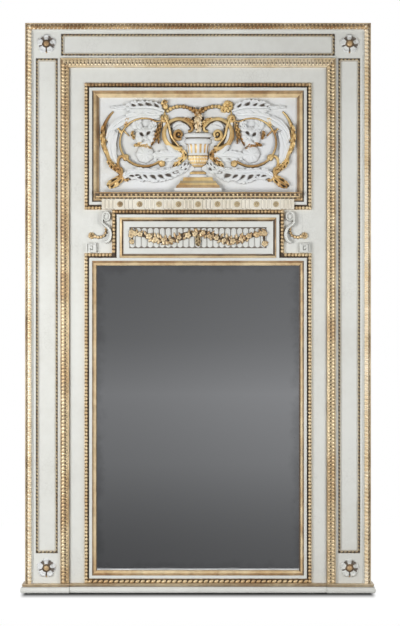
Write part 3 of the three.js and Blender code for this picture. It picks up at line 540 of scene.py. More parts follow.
def worn_gilding():
    """Water gilding over red clay, rubbed through on its edges and toned dark in its hollows, where the dark
    is partly patina and partly painted shade.
    """
    values = {"Hollow": 0.0, "Rub": 0.4, "Toning": 0.5}
    outputs = ("Colour", "Metal", "Roughness", "Height")
    graph, given = shader_group("worn gilding", values, ("Gold", "Deep gold", "Clay", "Patina and shade"), outputs)
    place = given["Place"]
    cloud = graph.noise(place, 7.0, 4.0, 0.6)
    brush = graph.noise(place, 70.0, 4.0, 0.6)
    fine = graph.noise(place, 420.0, 2.0)
    gold = graph.mix(graph.band(cloud, 0.38, 0.64), given["Gold"], given["Deep gold"])
    rubbed = graph.plus(graph.times(brush, 0.6), graph.times(cloud, 0.4))
    rubbed = graph.times(graph.band(rubbed, 0.5, 0.66), given["Rub"])
    leafed = graph.mix(rubbed, gold, given["Clay"])
    toned = graph.times(graph.band(graph.noise(place, 24.0, 4.0), 0.42, 0.66), given["Toning"])
    # Hollows darken towards the patina colour: partly patina, partly painted shade.
    sunk = graph.band(given["Hollow"], 0.1, 0.8)
    dark = graph.plus(graph.times(toned, 0.55), sunk, clamp=True)
    final = graph.mix(graph.times(dark, 0.95), leafed, given["Patina and shade"])
    bare = graph.plus(rubbed, dark, clamp=True)
    metal = graph.band(bare, 0.0, 1.0, 0.3, 0.02)
    rough = graph.band(bare, 0.0, 1.0, 0.36, 0.62)
    height = graph.plus(graph.times(brush, 0.6), graph.times(fine, 0.25))
    graph.add("NodeGroupOutput", {"Colour": final, "Metal": metal, "Roughness": rough, "Height": height})
    return graph.tree


def sawn_pine():
    """Sawn pine: growth bands drawn out along the board, and fine fibres."""
    outputs = ("Colour", "Roughness", "Height")
    graph, given = shader_group("sawn pine", {}, ("Early wood", "Late wood"), outputs)
    place = given["Place"]
    waver = graph.noise(place, 3.0, 2.0)
    rings = graph.noise(place, 14.0, 3.0, 0.6, 1.2)
    fibre = graph.noise(place, 160.0, 3.0, 0.7)
    late = graph.band(graph.plus(rings, graph.times(fibre, 0.25)), 0.5, 0.78)
    wood = graph.mix(late, given["Early wood"], given["Late wood"])
    worn = graph.mix(graph.band(waver, 0.4, 0.7, 0.0, 0.35), wood, given["Late wood"])
    rough = graph.band(fibre, 0.3, 0.7, 0.7, 0.85)
    graph.add("NodeGroupOutput", {"Colour": worn, "Roughness": rough, "Height": fibre})
    return graph.tree


# ---- materials ----

SHARED_GROUPS = {"aged paint": aged_paint, "worn gilding": worn_gilding, "sawn pine": sawn_pine}
SHADER_INPUTS = {"Colour": "Base Color", "Metal": "Metallic", "Roughness": "Roughness"}
BUMP_REACH = 0.6 * MM


def placed_group(graph, name, inputs):
    """Places a shared group in a material, and gives its outputs."""
    tree = bpy.data.node_groups.get(name) or SHARED_GROUPS[name]()
    return graph.add("ShaderNodeGroup", inputs, node_tree=tree)


def cleared_graph(owner):
    """The graph of a new material or world, without the nodes it comes with."""
    owner.use_nodes = True
    owner.node_tree.nodes.clear()
    return Graph(owner.node_tree)


def new_material(name):
    """A material with its graph, its shader's inputs, and the place on the piece."""
    material = bpy.data.materials.new(name)
    graph = cleared_graph(material)
    shader = graph.tree.nodes.new("ShaderNodeBsdfPrincipled")
    graph.add("ShaderNodeOutputMaterial", {"Surface": shader.outputs[0]})
    return material, graph, shader.inputs, graph.add("ShaderNodeTexCoord")["Object"]


def aged_material(name, kind, bump, inputs, stretch=None):
    """A material fed by one shared group, with the outputs of that group."""
    material, graph, shader, place = new_material(name)
    if stretch:
        place = graph.first("ShaderNodeMapping", {"Vector": place, "Scale": stretch})
    else:
        inputs = {**inputs, "Hollow": graph.add("ShaderNodeAttribute", attribute_name="hollow")["Fac"]}
    made = placed_group(graph, kind, {**inputs, "Place": place})
    for output, socket in SHADER_INPUTS.items():
        if output in made:
            graph.feed(shader[socket], made[output])
    relief = {"Strength": bump, "Distance": BUMP_REACH, "Height": made["Height"]}
    graph.feed(shader["Normal"], graph.first("ShaderNodeBump", relief))
    return material, graph, shader, made


def paint_material(name, paint, shade, grime, crackle, back_stretch=None):
    """Aged paint. With a stretch, the face towards the wall is left as bare pine."""
    inputs = {"Paint": paint, "Shade": shade, "Grime": chosen_colour("grime")}
    inputs.update({"Grime amount": grime, "Crackle": crackle})
    material, graph, shader, made = aged_material(name, "aged paint", 0.35, inputs)
    shader["Specular IOR Level"].default_value = 0.35
    if back_stretch:
        place = graph.add("ShaderNodeTexCoord")["Object"]
        drawn = graph.first("ShaderNodeMapping", {"Vector": place, "Scale": back_stretch})
        wood = placed_group(graph, "sawn pine", {**pine_colours(), "Place": drawn})
        normal = graph.add("ShaderNodeNewGeometry")["Normal"]
        facing = graph.add("ShaderNodeSeparateXYZ", {0: normal})["Y"]
        back = graph.math("GREATER_THAN", facing, 0.5)
        graph.feed(shader["Base Color"], graph.mix(back, made["Colour"], wood["Colour"]))
    return material


def gilt_material(name, gold, deep, rub, toning):
    """Worn gilding."""
    inputs = {"Gold": gold, "Deep gold": deep, "Rub": rub, "Toning": toning}
    inputs.update({"Clay": chosen_colour("clay"), "Patina and shade": chosen_colour("patina")})
    return aged_material(name, "worn gilding", 0.5, inputs)[0]


def pine_colours():
    return {"Early wood": chosen_colour("pine"), "Late wood": chosen_colour("late_pine")}


def pine_material(name, stretch):
    """Bare pine, its grain drawn out along the board."""
    return aged_material(name, "sawn pine", 0.3, pine_colours(), stretch)[0]


def mirror_material():
    """An old silvered plate: clear, with a faint bloom and dark spots near its edges."""
    material, graph, shader, place = new_material("silvered_plate")
    low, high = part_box("mirror_glass")
    half = (high - low) / 2
    centred = graph.vector("SUBTRACT", place, (low + high) / 2)
    parts = graph.add("ShaderNodeSeparateXYZ", {0: centred})
    across = graph.less(half.x, graph.math("ABSOLUTE", parts["X"]))
    up = graph.less(half.z, graph.math("ABSOLUTE", parts["Z"]))
    inside = graph.math("MINIMUM", across, up)
    cloud = graph.noise(place, 9.0, 5.0, 0.65)
    worn = graph.plus(graph.times(inside, 9.0), cloud)
    foxed = graph.less(1.0, graph.band(worn, 0.45, 0.95))
    dots = graph.band(graph.noise(place, 120.0, 3.0, 0.6), 0.66, 0.74)
    spoiled = graph.times(foxed, graph.plus(dots, 0.25), clamp=True)
    graph.feed(shader["Base Color"], graph.mix(spoiled, chosen_colour("silver"), colour("3b3a35")))
    graph.feed(shader["Roughness"], graph.band(spoiled, 0.0, 1.0, 0.015, 0.35))
    shader["Metallic"].default_value = 1.0
    return material


# ---- rows of carved units, by Geometry Nodes ----

ROW_SETTINGS = {"Pitch": 0.015, "Spin": 0.0, "Stray": 0.0, "Smallest": 1.0, "Largest": 1.0}
STRAY_SHARES = (1.0, 1.0, 0.35)


def carved_row_tree():
    """A tree that sets carved units at an even pitch along lines, facing outwards from the wall."""
    tree = bpy.data.node_groups.new("carved row", "GeometryNodeTree")
    sockets = {"Geometry": "Geometry", "Unit": "Object", "Finish": "Material"}
    sockets.update({name: "Float" for name in ROW_SETTINGS}, Seed="Int")
    for name, kind in sockets.items():
        made = tree.interface.new_socket(name, in_out="INPUT", socket_type="NodeSocket" + kind)
        if name in ROW_SETTINGS:
            made.default_value = ROW_SETTINGS[name]
    tree.interface.new_socket("Geometry", in_out="OUTPUT", socket_type="NodeSocketGeometry")
    graph = Graph(tree)
    given = graph.add("NodeGroupInput")
    curve = graph.first("GeometryNodeMeshToCurve", {"Mesh": given["Geometry"]})
    even = {"Curve": curve, "Length": given["Pitch"]}
    line = graph.first("GeometryNodeResampleCurve", even, mode="LENGTH")
    tangent = graph.first("GeometryNodeInputTangent")
    outwards = {0: (0, -1, 0), 1: tangent}
    turn = graph.first("FunctionNodeAxesToRotation", outwards, primary_axis="Z", secondary_axis="X")
    unit = graph.add("GeometryNodeObjectInfo", {"Object": given["Unit"]})["Geometry"]
    places = {"Points": line, "Instance": unit, "Rotation": turn}
    rows = graph.first("GeometryNodeInstanceOnPoints", places)

    def chance(low, high, first, seed, **settings):
        span = {"Min": (low, first), "Max": (high, first + 1), "Seed": seed}
        return graph.add("FunctionNodeRandomValue", span, **settings)

    size = chance(given["Smallest"], given["Largest"], 2, given["Seed"])[1]
    scaled = graph.first("GeometryNodeScaleInstances", {"Instances": rows, "Scale": size})
    spin = chance(graph.times(given["Spin"], -1.0), given["Spin"], 2, given["Seed"])[1]
    axis = graph.first("ShaderNodeCombineXYZ", {"Z": spin})
    spun = graph.first("GeometryNodeRotateInstances", {"Instances": scaled, "Rotation": axis})
    least, seed = graph.times(given["Stray"], -1.0), graph.plus(given["Seed"], 7.0)
    stray = chance(least, given["Stray"], 0, seed, data_type="FLOAT_VECTOR")[0]
    flat = graph.vector("MULTIPLY", stray, STRAY_SHARES)
    strewn = graph.first("GeometryNodeTranslateInstances", {"Instances": spun, "Translation": flat})
    real = graph.first("GeometryNodeRealizeInstances", {"Geometry": strewn})
    last = {"Geometry": real, "Material": given["Finish"]}
    graph.add("NodeGroupOutput", {"Geometry": graph.first("GeometryNodeSetMaterial", last)})
    return tree


def unit_object(name, shape):
    """A carved unit as an object for the rows: along its row, outwards across it and out."""
    return in_scene(bpy.data.objects.new(name, shape.mesh(name, placed=False)))


def drop_units(*units):
    """Removes units whose rows are all carved."""
    for unit in units:
        bpy.data.objects.remove(unit)


def carve_row(name, unit, runs, pitch, finish, slot="gilding", **choices):
    """Sets a row of units along runs of points, and keeps the result as a plain piece. The choices
    are inputs of the tree, such as how far the units spin, stray and differ in size."""
    points = []
    edges = []
    for run in runs:
        first = len(points)
        points += [(x * MM, WALL - z * MM, y * MM) for x, y, z in run]
        edges += [(first + i, first + i + 1) for i in range(len(run) - 1)]
    lines = bpy.data.meshes.new(name + "_lines")
    lines.from_pydata(points, edges, [])
    piece = in_scene(bpy.data.objects.new(name, lines))
    tree = bpy.data.node_groups.get("carved row") or carved_row_tree()
    modifier = piece.modifiers.new("carved row", "NODES")
    modifier.node_group = tree
    values = {"Unit": unit, "Finish": shared_finishes()[finish], "Pitch": pitch * MM, **choices}
    for item in tree.interface.items_tree:
        if item.item_type == "SOCKET" and item.in_out == "INPUT" and item.name in values:
            modifier[item.identifier] = values[item.name]
    bpy.context.view_layer.update()
    evaluated = piece.evaluated_get(bpy.context.evaluated_depsgraph_get())
    mesh = bpy.data.meshes.new_from_object(evaluated)
    piece.modifiers.clear()
    piece.data = mesh
    mesh.name = name
    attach(piece, BODY)


def pitch_for(length, pitch):
    """The pitch nearest to the wanted one that fills a run from end to end with whole units."""
    return length / max(1, round(length / pitch)) * 0.9995


def dome_unit(length, width, rise, turn=0.0, sides=8, rings=4, squareness=1.0, rim=1.0):
    """A domed unit, such as a pearl or a strand of rope, with its rim painted dark as shade."""

    def height(r, a):
        return rise * np.sqrt(np.maximum(1 - (r * 0.999) ** (2 * squareness), 0))

    def dark(r, a):
        return rim * ease(0.72, 1.0, r) + 0 * a

    shape = Shape()
    boss(shape, 0, 0, lambda a: 1.0, height, rings, sides, hollow=dark)
    points = shape.points[0] * (length / 2, width / 2, 1)
    c, s = math.cos(math.radians(turn)), math.sin(math.radians(turn))
    x, y = points[:, 0] * c - points[:, 1] * s, points[:, 0] * s + points[:, 1] * c
    shape.points[0] = np.column_stack([x, y, points[:, 2]])
    return shape


def tongue_unit(length, width, rise, shift=0.0, point=1, sharp=1.6):
    """A small leaf that points across its row, outwards for a point of 1 and inwards for -1."""
    t = np.linspace(0, 1, 6)
    body = np.sin(math.pi * (0.18 + 0.82 * t) ** sharp)
    rings = []
    marks = []
    for v, half in zip(t, np.maximum(body, 0.05) * width / 2):
        y = shift + point * (v - 0.5) * length
        crown = rise * (0.75 + 0.25 * math.sin(math.pi * v)) * (1 - 0.35 * v)
        heights = {-1: 0, -0.8: crown * 0.8, 0: crown * 1.05, 0.8: crown * 0.8, 1: 0}
        ring = [(half * share, y, height) for share, height in heights.items()]
        rings.append(ring if point > 0 else ring[::-1])
        # Its edges and the foot of its crown are painted darker, as shade.
        marks.append([1.0, 0.3 - 0.3 * v, 0.6 - 0.6 * v, 0.3 - 0.3 * v, 1.0])
    shape = Shape()
    shape.skin(rings, marks)
    return shape


def joined(*shapes):
    """Several shapes as one."""
    whole = Shape()
    for shape in shapes:
        whole.faces += [[i + whole.count for i in face] for face in shape.faces]
        whole.points += shape.points
        whole.hollow += shape.hollow
        whole.finishes += shape.finishes
        whole.count += shape.count
    return whole


# ---- sizes, colours and stage settings ----


def number_property(name, description, default, **choices):
    return bpy.props.FloatProperty(name=name, description=description, default=default, **choices)


def length_property(name, description, millimetres):
    return number_property(name, description, millimetres * MM, min=0.0, unit="LENGTH")


def factor_property(name, description, default):
    return number_property(name, description, default, min=0.0, max=1.0, subtype="FACTOR")


def colour_property(name, description, code):
    choices = {"default": colour(code)[:3], "size": 3, "min": 0.0, "max": 1.0, "subtype": "COLOR"}
    return bpy.props.FloatVectorProperty(name=name, description=description, **choices)


class TrumeauMouldings(bpy.types.PropertyGroup):
    """Sizes of the mouldings' carving."""

    rope_pitch: length_property("Rope pitch", "From strand to strand of the outer moulding", 15.5)
    leaf_pitch: length_property("Leaf pitch", "From leaf to leaf of the inner border", 14.6)
    twist_pitch: length_property("Twist pitch", "From strand to strand of the thin frames", 14.5)
    bead_pitch: length_property("Bead pitch", "From pearl to pearl of the framings", 14.0)
    egg_pitch: length_property("Egg pitch", "From egg to egg of the shelf", 33.4)
    bead_width: length_property("Bead width", "Band of the framings that holds the pearls", 15.0)
    groove_width: length_property("Groove width", "Dark groove beside the pearls", 4.0)
    fillet_width: length_property("Fillet width", "Painted flat beside the groove", 12.0)


class TrumeauCarving(bpy.types.PropertyGroup):
    """Sizes of the relief and the small carving."""

    relief_rise: length_property("Relief rise", "Height of the boldest carving over its panel", 27.0)
    eyes: factor_property("Drilled eyes", "How deep the eyes between the leaf lobes are drilled", 1.0)
    reeds: bpy.props.IntProperty(name="Reeds", description="Reeds behind the garland", default=23, min=3)
    rose_pitch: length_property("Rose pitch", "From rose to rose of the frieze", 78.0)


class TrumeauFinishes(bpy.types.PropertyGroup):
    """Colours and wear."""

    paint: colour_property("Paint", "Grey-white distemper", "DEDFDA")
    paint_shade: colour_property("Paint shade", "Its darker mottling", "D4D4CE")
    carving_paint: colour_property("Carving paint", "Paint on the carved work", "E3E5E6")
    # The grime colour is also the painted shade of the paint's hollows.
    grime: colour_property("Grime", "Dirt in hollows and cracks", "57493A")
    gold: colour_property("Gold", "Bright water gilding", "F0DAB0")
    deep_gold: colour_property("Deep gold", "Warmer patches of the gilding", "D8B98A")
    clay: colour_property("Clay", "Red ground that shows through rubbed gold", "8E5636")
    # The patina colour is also the painted shade of the gilding's hollows and of the dark sheets under the
    # carving.
    patina: colour_property("Patina and shade", "Dark toning in the hollows of the gilding", "382A1B")
    pine: colour_property("Pine", "Bare wood of the back", "B08A5C")
    late_pine: colour_property("Late pine", "Its darker growth bands", "7C5632")
    silver: colour_property("Silver", "Tint of the mirror plate", "E4E6E8")
    grime_amount: factor_property("Grime amount", "Share of the paint that is stained", 0.25)
    crackle: factor_property("Crackle", "Strength of the paint's fine cracks", 0.35)


class TrumeauStage(bpy.types.PropertyGroup):
    """Camera and light."""

    distance: number_property("Distance", "From the face to the camera", 7.0, unit="LENGTH")
    lens: number_property("Lens", "Focal length", 100.6, unit="CAMERA")
    key_power: number_property("Key", "Power of the lamp on the left", 57.0, unit="POWER")
    fill_power: number_property("Fill", "Power of the lamp on the right", 39.0, unit="POWER")
    shadow_reach: length_property("Shadow reach", "How far the foot's shadow shows on the floor", 130.0)
    ambient: factor_property("Ambient", "Level of the light from all round", 0.12)


# ---- boards and plates ----

# How the grain is drawn out along a board: small along it and large across it.
UPRIGHT_GRAIN = (6.0, 6.0, 0.7)
LEVEL_GRAIN = (0.7, 6.0, 6.0)


def finish_node(name, material):
    """Gives a carried-over frame node its material."""
    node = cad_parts[name]
    node.data.materials.clear()
    node.data.materials.append(material)


def board_material(name, paint, grain):
    """A board that is painted where it shows and left as bare pine on its back."""
    wear = bpy.context.scene.trumeau_finishes
    colours = chosen_colour(paint), chosen_colour("paint_shade")
    return paint_material(name, *colours, wear.grime_amount, wear.crackle, grain)


class TRUMEAU_OT_boards(bpy.types.Operator):
    """Finish the stiles, rails and battens"""

    bl_idname = "trumeau.boards"
    bl_label = "Boards"

    def execute(self, context):
        upright = board_material("painted_upright", "paint", UPRIGHT_GRAIN)
        level = board_material("painted_rail", "paint", LEVEL_GRAIN)
        for side in BOTH:
            finish_node(side + "_stile", upright)
            finish_node(side + "_inner_stile", upright)
        for name in ("top_rail", "inner_top_rail", "cross_rail", "bottom_rail"):
            finish_node(name, level)
        batten = pine_material("batten_pine", LEVEL_GRAIN)
        for name in ("upper", "upper_middle", "lower_middle", "lower"):
            finish_node(name + "_batten", batten)
        return {"FINISHED"}


class TRUMEAU_OT_plates(bpy.types.Operator):
    """Finish the mirror plate, its backboard and the relief's panel"""

    bl_idname = "trumeau.plates"
    bl_label = "Plates"

    def execute(self, context):
        ground = board_material("relief_ground", "carving_paint", LEVEL_GRAIN)
        finish_node("relief_panel", ground)
        finish_node("mirror_backboard", pine_material("backboard_pine", UPRIGHT_GRAIN))
        finish_node("mirror_glass", mirror_material())
        return {"FINISHED"}


# ---- finishes that the mouldings and the carving share ----

# Each gilding: its two golds, how far it is rubbed and how far it is toned.
GILDINGS = {
    "pale_gilding": ("FBECD0", "ECD5AC", 0.12, 0.15),
    "relief_gilding": ("F2D598", "BE9258", 0.3, 0.35),
    # The toned gilding is also a shaded copy of the gold, put on less lit sides and on dark sheets as
    # painted shade.
    "toned_and_shaded_gilding": ("D2B386", "A58258", 0.45, 0.45),
    "dark_gilding": ("8E7C62", "5E4E3C", 0.3, 0.6),
    # The worn edge gilding is also a shaded copy, put on the less lit sides of the mouldings as painted
    # shade.
    "worn_and_shaded_edge": ("CDBB9C", "AD9878", 0.3, 0.4),
    "worn_bronze": ("C9B791", "A38E69", 0.3, 0.4),
}

# Each small paint: its two colours, its grime and its crackle.
PAINTS = {
    # Dark brown paint in grooves, drilled holes and behind the eggs, standing for the shade in them.
    "groove_shade": ("5D4E3C", "3B3025", 0.5, 0.0),
    "worn_lip": ("C8C2B4", "A89E8C", 0.4, 0.1),
    "frieze_paint": ("E6E1D4", "D2C7B0", 0.3, 0.2),
}


def shared_finishes():
    """All materials by name, with the shared gildings and paints made the first time."""
    made = bpy.data.materials
    if "bright_gilding" in made:
        return made
    paint, crackle = chosen_colour("paint"), bpy.context.scene.trumeau_finishes.crackle
    gilt_material("bright_gilding", chosen_colour("gold"), chosen_colour("deep_gold"), 0.25, 0.25)
    for name, (gold, deep, rub, toning) in GILDINGS.items():
        gilt_material(name, colour(gold), colour(deep), rub, toning)
    paint_material("moulding_paint", paint, chosen_colour("paint_shade"), 0.3, crackle)
    paint_material("carving_paint", chosen_colour("carving_paint"), paint, 0.16, crackle * 0.5)
    for name, (base, shade, grime, cracks) in PAINTS.items():
        paint_material(name, colour(base), colour(shade), grime, cracks)
    return made


# ---- mouldings ----

# How the ends of a moulding that has no side below it are cut.
SLOPES = {"left": (1, 0), "top": (1, 1), "right": (0, 1)}


def three_sides(kind):
    """The rectangle, width, back and rise of a moulding that runs up, over and down."""
    left, right = extent("left_" + kind), extent("right_" + kind)
    box = (left.left, right.right, left.low, left.top)
    return box, left.right - left.left, left.back, left.front - left.back


class TRUMEAU_OT_outer_mouldings(bpy.types.Operator):
    """Build the rope mouldings round the outside"""

    bl_idname = "trumeau.outer_mouldings"
    bl_label = "Outer mouldings"

    def execute(self, context):
        wanted = context.scene.trumeau_mouldings.rope_pitch / MM
        box, width, back, rise = three_sides("outer_moulding")
        floor = rise * 0.5
        profile = Profile()
        profile.band([(0, 0), (0, rise * 0.55), (1, rise * 0.68), (3, rise * 0.74)], 0)
        # The pit band and the foot of the lip are painted darker, as shade.
        profile.band([(5, rise * 0.7), (6.5, floor), (9.5, floor)], 0, (0.1, 0.55, 0.55))
        profile.band([(11, floor), (14, floor + 2), (19, floor + 2), (24, floor)], 1, 0.05)
        profile.band([(25, rise * 0.4), (width - 1, rise * 0.36), (width, rise * 0.3)], 2, (0.5, 0, 0))
        profile.band([(width, 0)], 2)
        slots = ("worn_and_shaded_edge", "pale_gilding", "moulding_paint")
        strand = dome_unit(20, 14, rise * 0.48, turn=56, sides=14, rings=6, squareness=1.8, rim=0.0)
        strand = unit_object("rope_strand", strand)
        pearl = unit_object("rope_pearl", dome_unit(9, 5.5, 3.2, turn=35, sides=8, rings=3, rim=0.6))
        bed = back + floor
        for side, slopes in SLOPES.items():
            name = side + "_rope"
            node = side + "_outer_moulding"
            run_moulding(name + "_moulding", node, [profile], side, box, back, slots, slopes)
            pitch = pitch_for(side_length(side, box) - 30, wanted)
            gaps = (16, 14) if side == "right" else (14, 16)
            # Top and sides take different gildings for the same strands and pearls, as painted light and
            # shade.
            finish = "toned_and_shaded_gilding" if side == "top" else "pale_gilding"
            run = run_line(side, box, 17.5, bed, gaps)
            carve_row(name + "_strands", strand, [run], pitch, finish)
            finish = "pale_gilding" if side == "top" else "worn_and_shaded_edge"
            run = run_line(side, box, 8.2, bed, (14 + pitch / 2, 16))
            carve_row(name + "_pearls", pearl, [run], pitch, finish)
        drop_units(strand, pearl)
        return {"FINISHED"}


class TRUMEAU_OT_leaf_mouldings(bpy.types.Operator):
    """Build the leaf mouldings between the border and the field"""

    bl_idname = "trumeau.leaf_mouldings"
    bl_label = "Leaf mouldings"

    def execute(self, context):
        wanted = context.scene.trumeau_mouldings.leaf_pitch / MM
        box, width, back, rise = three_sides("leaf_moulding")
        floor = rise * 0.7
        profile = Profile()
        # Marks paint shade into the band's hollows and along its inner lip.
        profile.band([(0, 0), (0, rise * 0.74), (1.5, rise * 0.84), (4.5, rise * 0.84)], 0)
        profile.band([(6, floor)], 0, 0.35)
        profile.band([(8, floor), (14, floor + 1.5), (20, floor), (24, floor - 2)], 1, 0.4)
        profile.band([(29, floor - 4), (31, rise * 0.5)], 1, (0.4, 0.2))
        lip = [(33, rise * 0.52), (width - 1, rise * 0.44), (width, rise * 0.3)]
        profile.band(lip, 0, (0.1, 0.3, 0.6))
        profile.band([(width, 0)], 0)
        outer = unit_object("outer_leaf", tongue_unit(17, 14.6, rise * 0.27, point=1, sharp=1.1))
        inner = unit_object("inner_leaf", tongue_unit(12, 14.0, rise * 0.24, point=-1, sharp=1.1))
        # The drilled holes are small dark discs, painted as the shade in the holes.
        hole = unit_object("drilled_hole", dome_unit(6.5, 6.5, 1.2, sides=8, rings=3, squareness=3))
        bed = back + floor
        for side, slopes in SLOPES.items():
            name = side + "_leaf"
            node = name + "_moulding"
            # Top and sides take different gildings for the same leaves and edge, as painted light and shade.
            bright = "pale_gilding" if side == "top" else "bright_gilding"
            edge = bright if side == "top" else "worn_and_shaded_edge"
            run_moulding(node, node, [profile], side, box, back, (edge, bright), slopes)
            pitch = pitch_for(side_length(side, box) - 36, wanted)
            gaps = {"left": (8, 28), "top": (18, 18), "right": (28, 8)}[side]
            later = (gaps[0] + pitch / 2, gaps[1])
            run = run_line(side, box, 12.5, bed - 0.5, gaps)
            carve_row(name + "_outer_leaves", outer, [run], pitch, bright)
            run = run_line(side, box, 25.5, bed - 3, later)
            carve_row(name + "_inner_leaves", inner, [run], pitch, bright)
            run = run_line(side, box, 20.5, bed + rise * 0.17, later)
            carve_row(name + "_drilled_holes", hole, [run], pitch, "groove_shade")
        drop_units(outer, inner, hole)
        return {"FINISHED"}


class TRUMEAU_OT_thin_frames(bpy.types.Operator):
    """Build the thin twisted frames of the sunk panels"""

    bl_idname = "trumeau.thin_frames"
    bl_label = "Thin frames"

    def execute(self, context):
        wanted = context.scene.trumeau_mouldings.twist_pitch / MM
        strand = dome_unit(12, 6.4, 4.2, turn=24, sides=10, rings=4, rim=0.35)
        strand = unit_object("twist_strand", strand)
        for node in ("left_pearl_frame", "right_pearl_frame", "top_pearl_frame"):
            place = extent(node)
            rise = place.front - place.back
            box = (place.left, place.right, place.low, place.top)
            profile = Profile()
            profile.band([(0, 0), (0.3, rise * 0.42), (1.0, rise * 0.48)], 0, 0.3)
            # The dark band along the frame's outer side is painted shade.
            profile.band([(1.6, rise * 0.4), (6.4, rise * 0.4)], 0, 0.95)
            profile.band([(7, rise * 0.5), (11.2, rise * 0.44), (12, rise * 0.2), (12, 0)], 1, 0.05)
            shape = Shape()
            for side in SIDES:
                strip(shape, profile, side, box, place.back)
            name = node.replace("pearl", "twist")
            dress(name + "_moulding", shape, ("dark_gilding", "worn_lip"), node)
            for pair in (("left", "right"), ("top", "bottom")):
                pitch = pitch_for(side_length(pair[0], box) - 12, wanted)
                gap = 6 + pitch / 2
                lines = [run_line(side, box, 4.2, place.back + rise * 0.4, (gap, gap)) for side in pair]
                row = f"{name}_{pair[0]}_strands"
                carve_row(row, strand, lines, pitch, "worn_bronze", "aged_gilding")
        drop_units(strand)
        return {"FINISHED"}


FRAMING_SLOTS = ("bright_gilding", "toned_and_shaded_gilding", "moulding_paint", "groove_shade")

# Tones of an ogee: each from the last one's end to a share of its width, with a slot and a mark. Marks and
# the dark slot paint shade on the slope; the mirror's left side is painted lighter and the garland's right
# side darker, as painted light and shade.
MIRROR_TONES = ((0.3, 1, 0.5), (0.7, 0, 0.05), (1.0, 3, 0.9))
MIRROR_LEFT_TONES = ((0.3, 1, 0.4), (0.84, 0, 0.0), (1.0, 3, 0.7))
PLAIN_TONES = ((0.45, 1, 0.3), (1.0, 0, 0.1))
RELIEF_TONES = ((0.2, 3, 0.9), (0.62, 0, 0.1), (1.0, 1, 0.45))
GARLAND_TONES = ((0.45, 0, 0.15), (0.82, 1, 0.6), (1.0, 2, 0.3))
GARLAND_RIGHT_TONES = ((0.3, 1, 0.35), (0.7, 1, 0.85), (1.0, 2, 0.15))

# A framing's heights, as shares of its crest: the bed of its pearls and the floor of its groove.
BED_SHARE = 0.52
GROOVE_SHARE = 0.3
GARLAND_OGEE = 18


def framing_bands(sizes, crest, ogee_width, inner_rise, nose, tones, dark=0.95):
    """The three bands of a framing, from its outer edge in: pearls and groove, fillet, and ogee."""
    bead = sizes.bead_width / MM
    groove = bead + sizes.groove_width / MM
    ogee = groove + sizes.fillet_width / MM
    bed = crest * BED_SHARE
    low = crest * GROOVE_SHARE
    pearls = Profile()
    # The pearls' bed, the groove and the inner tuck are painted dark as shade, the groove as dark as the
    # dark mark says.
    pearls.band([(0, 0), (0.2, bed * 1.05), (1.2, bed * 1.1)], 0, 0.2)
    pearls.band([(2, bed), (bead - 1.5, bed), (bead, low)], 1, (0.8, 0.8, dark))
    pearls.band([(groove, low), (groove, 0)], 1, dark)
    fillet = Profile()
    fillet.band([(groove, 0), (groove, low), (groove + 0.4, crest - 0.5)], 2, (0.6, 0.6, 0.0))
    fillet.band([(groove + 1, crest), (ogee - 0.6, crest), (ogee, crest - 0.6), (ogee, 0)], 2)
    slope = Profile()
    slope.band([(ogee, 0), (ogee, crest - 3)], 1, (0.0, 0.55))
    start = 0.04
    for end, finish, mark in tones:
        shares = np.linspace(start, end, 4)
        falls = crest - 3 - (crest - 3 - inner_rise) * (1 - np.cos(math.pi * shares)) / 2
        slope.band(list(zip(ogee + ogee_width * shares, falls)), finish, mark)
        start = end + 0.02
    inner = ogee + ogee_width
    tuck = [(inner, -nose), (ogee + 6.3, -nose), (ogee + 6.3, 0)] if nose else [(inner, 0)]
    slope.band(tuck, 3)
    return pearls, fillet, slope


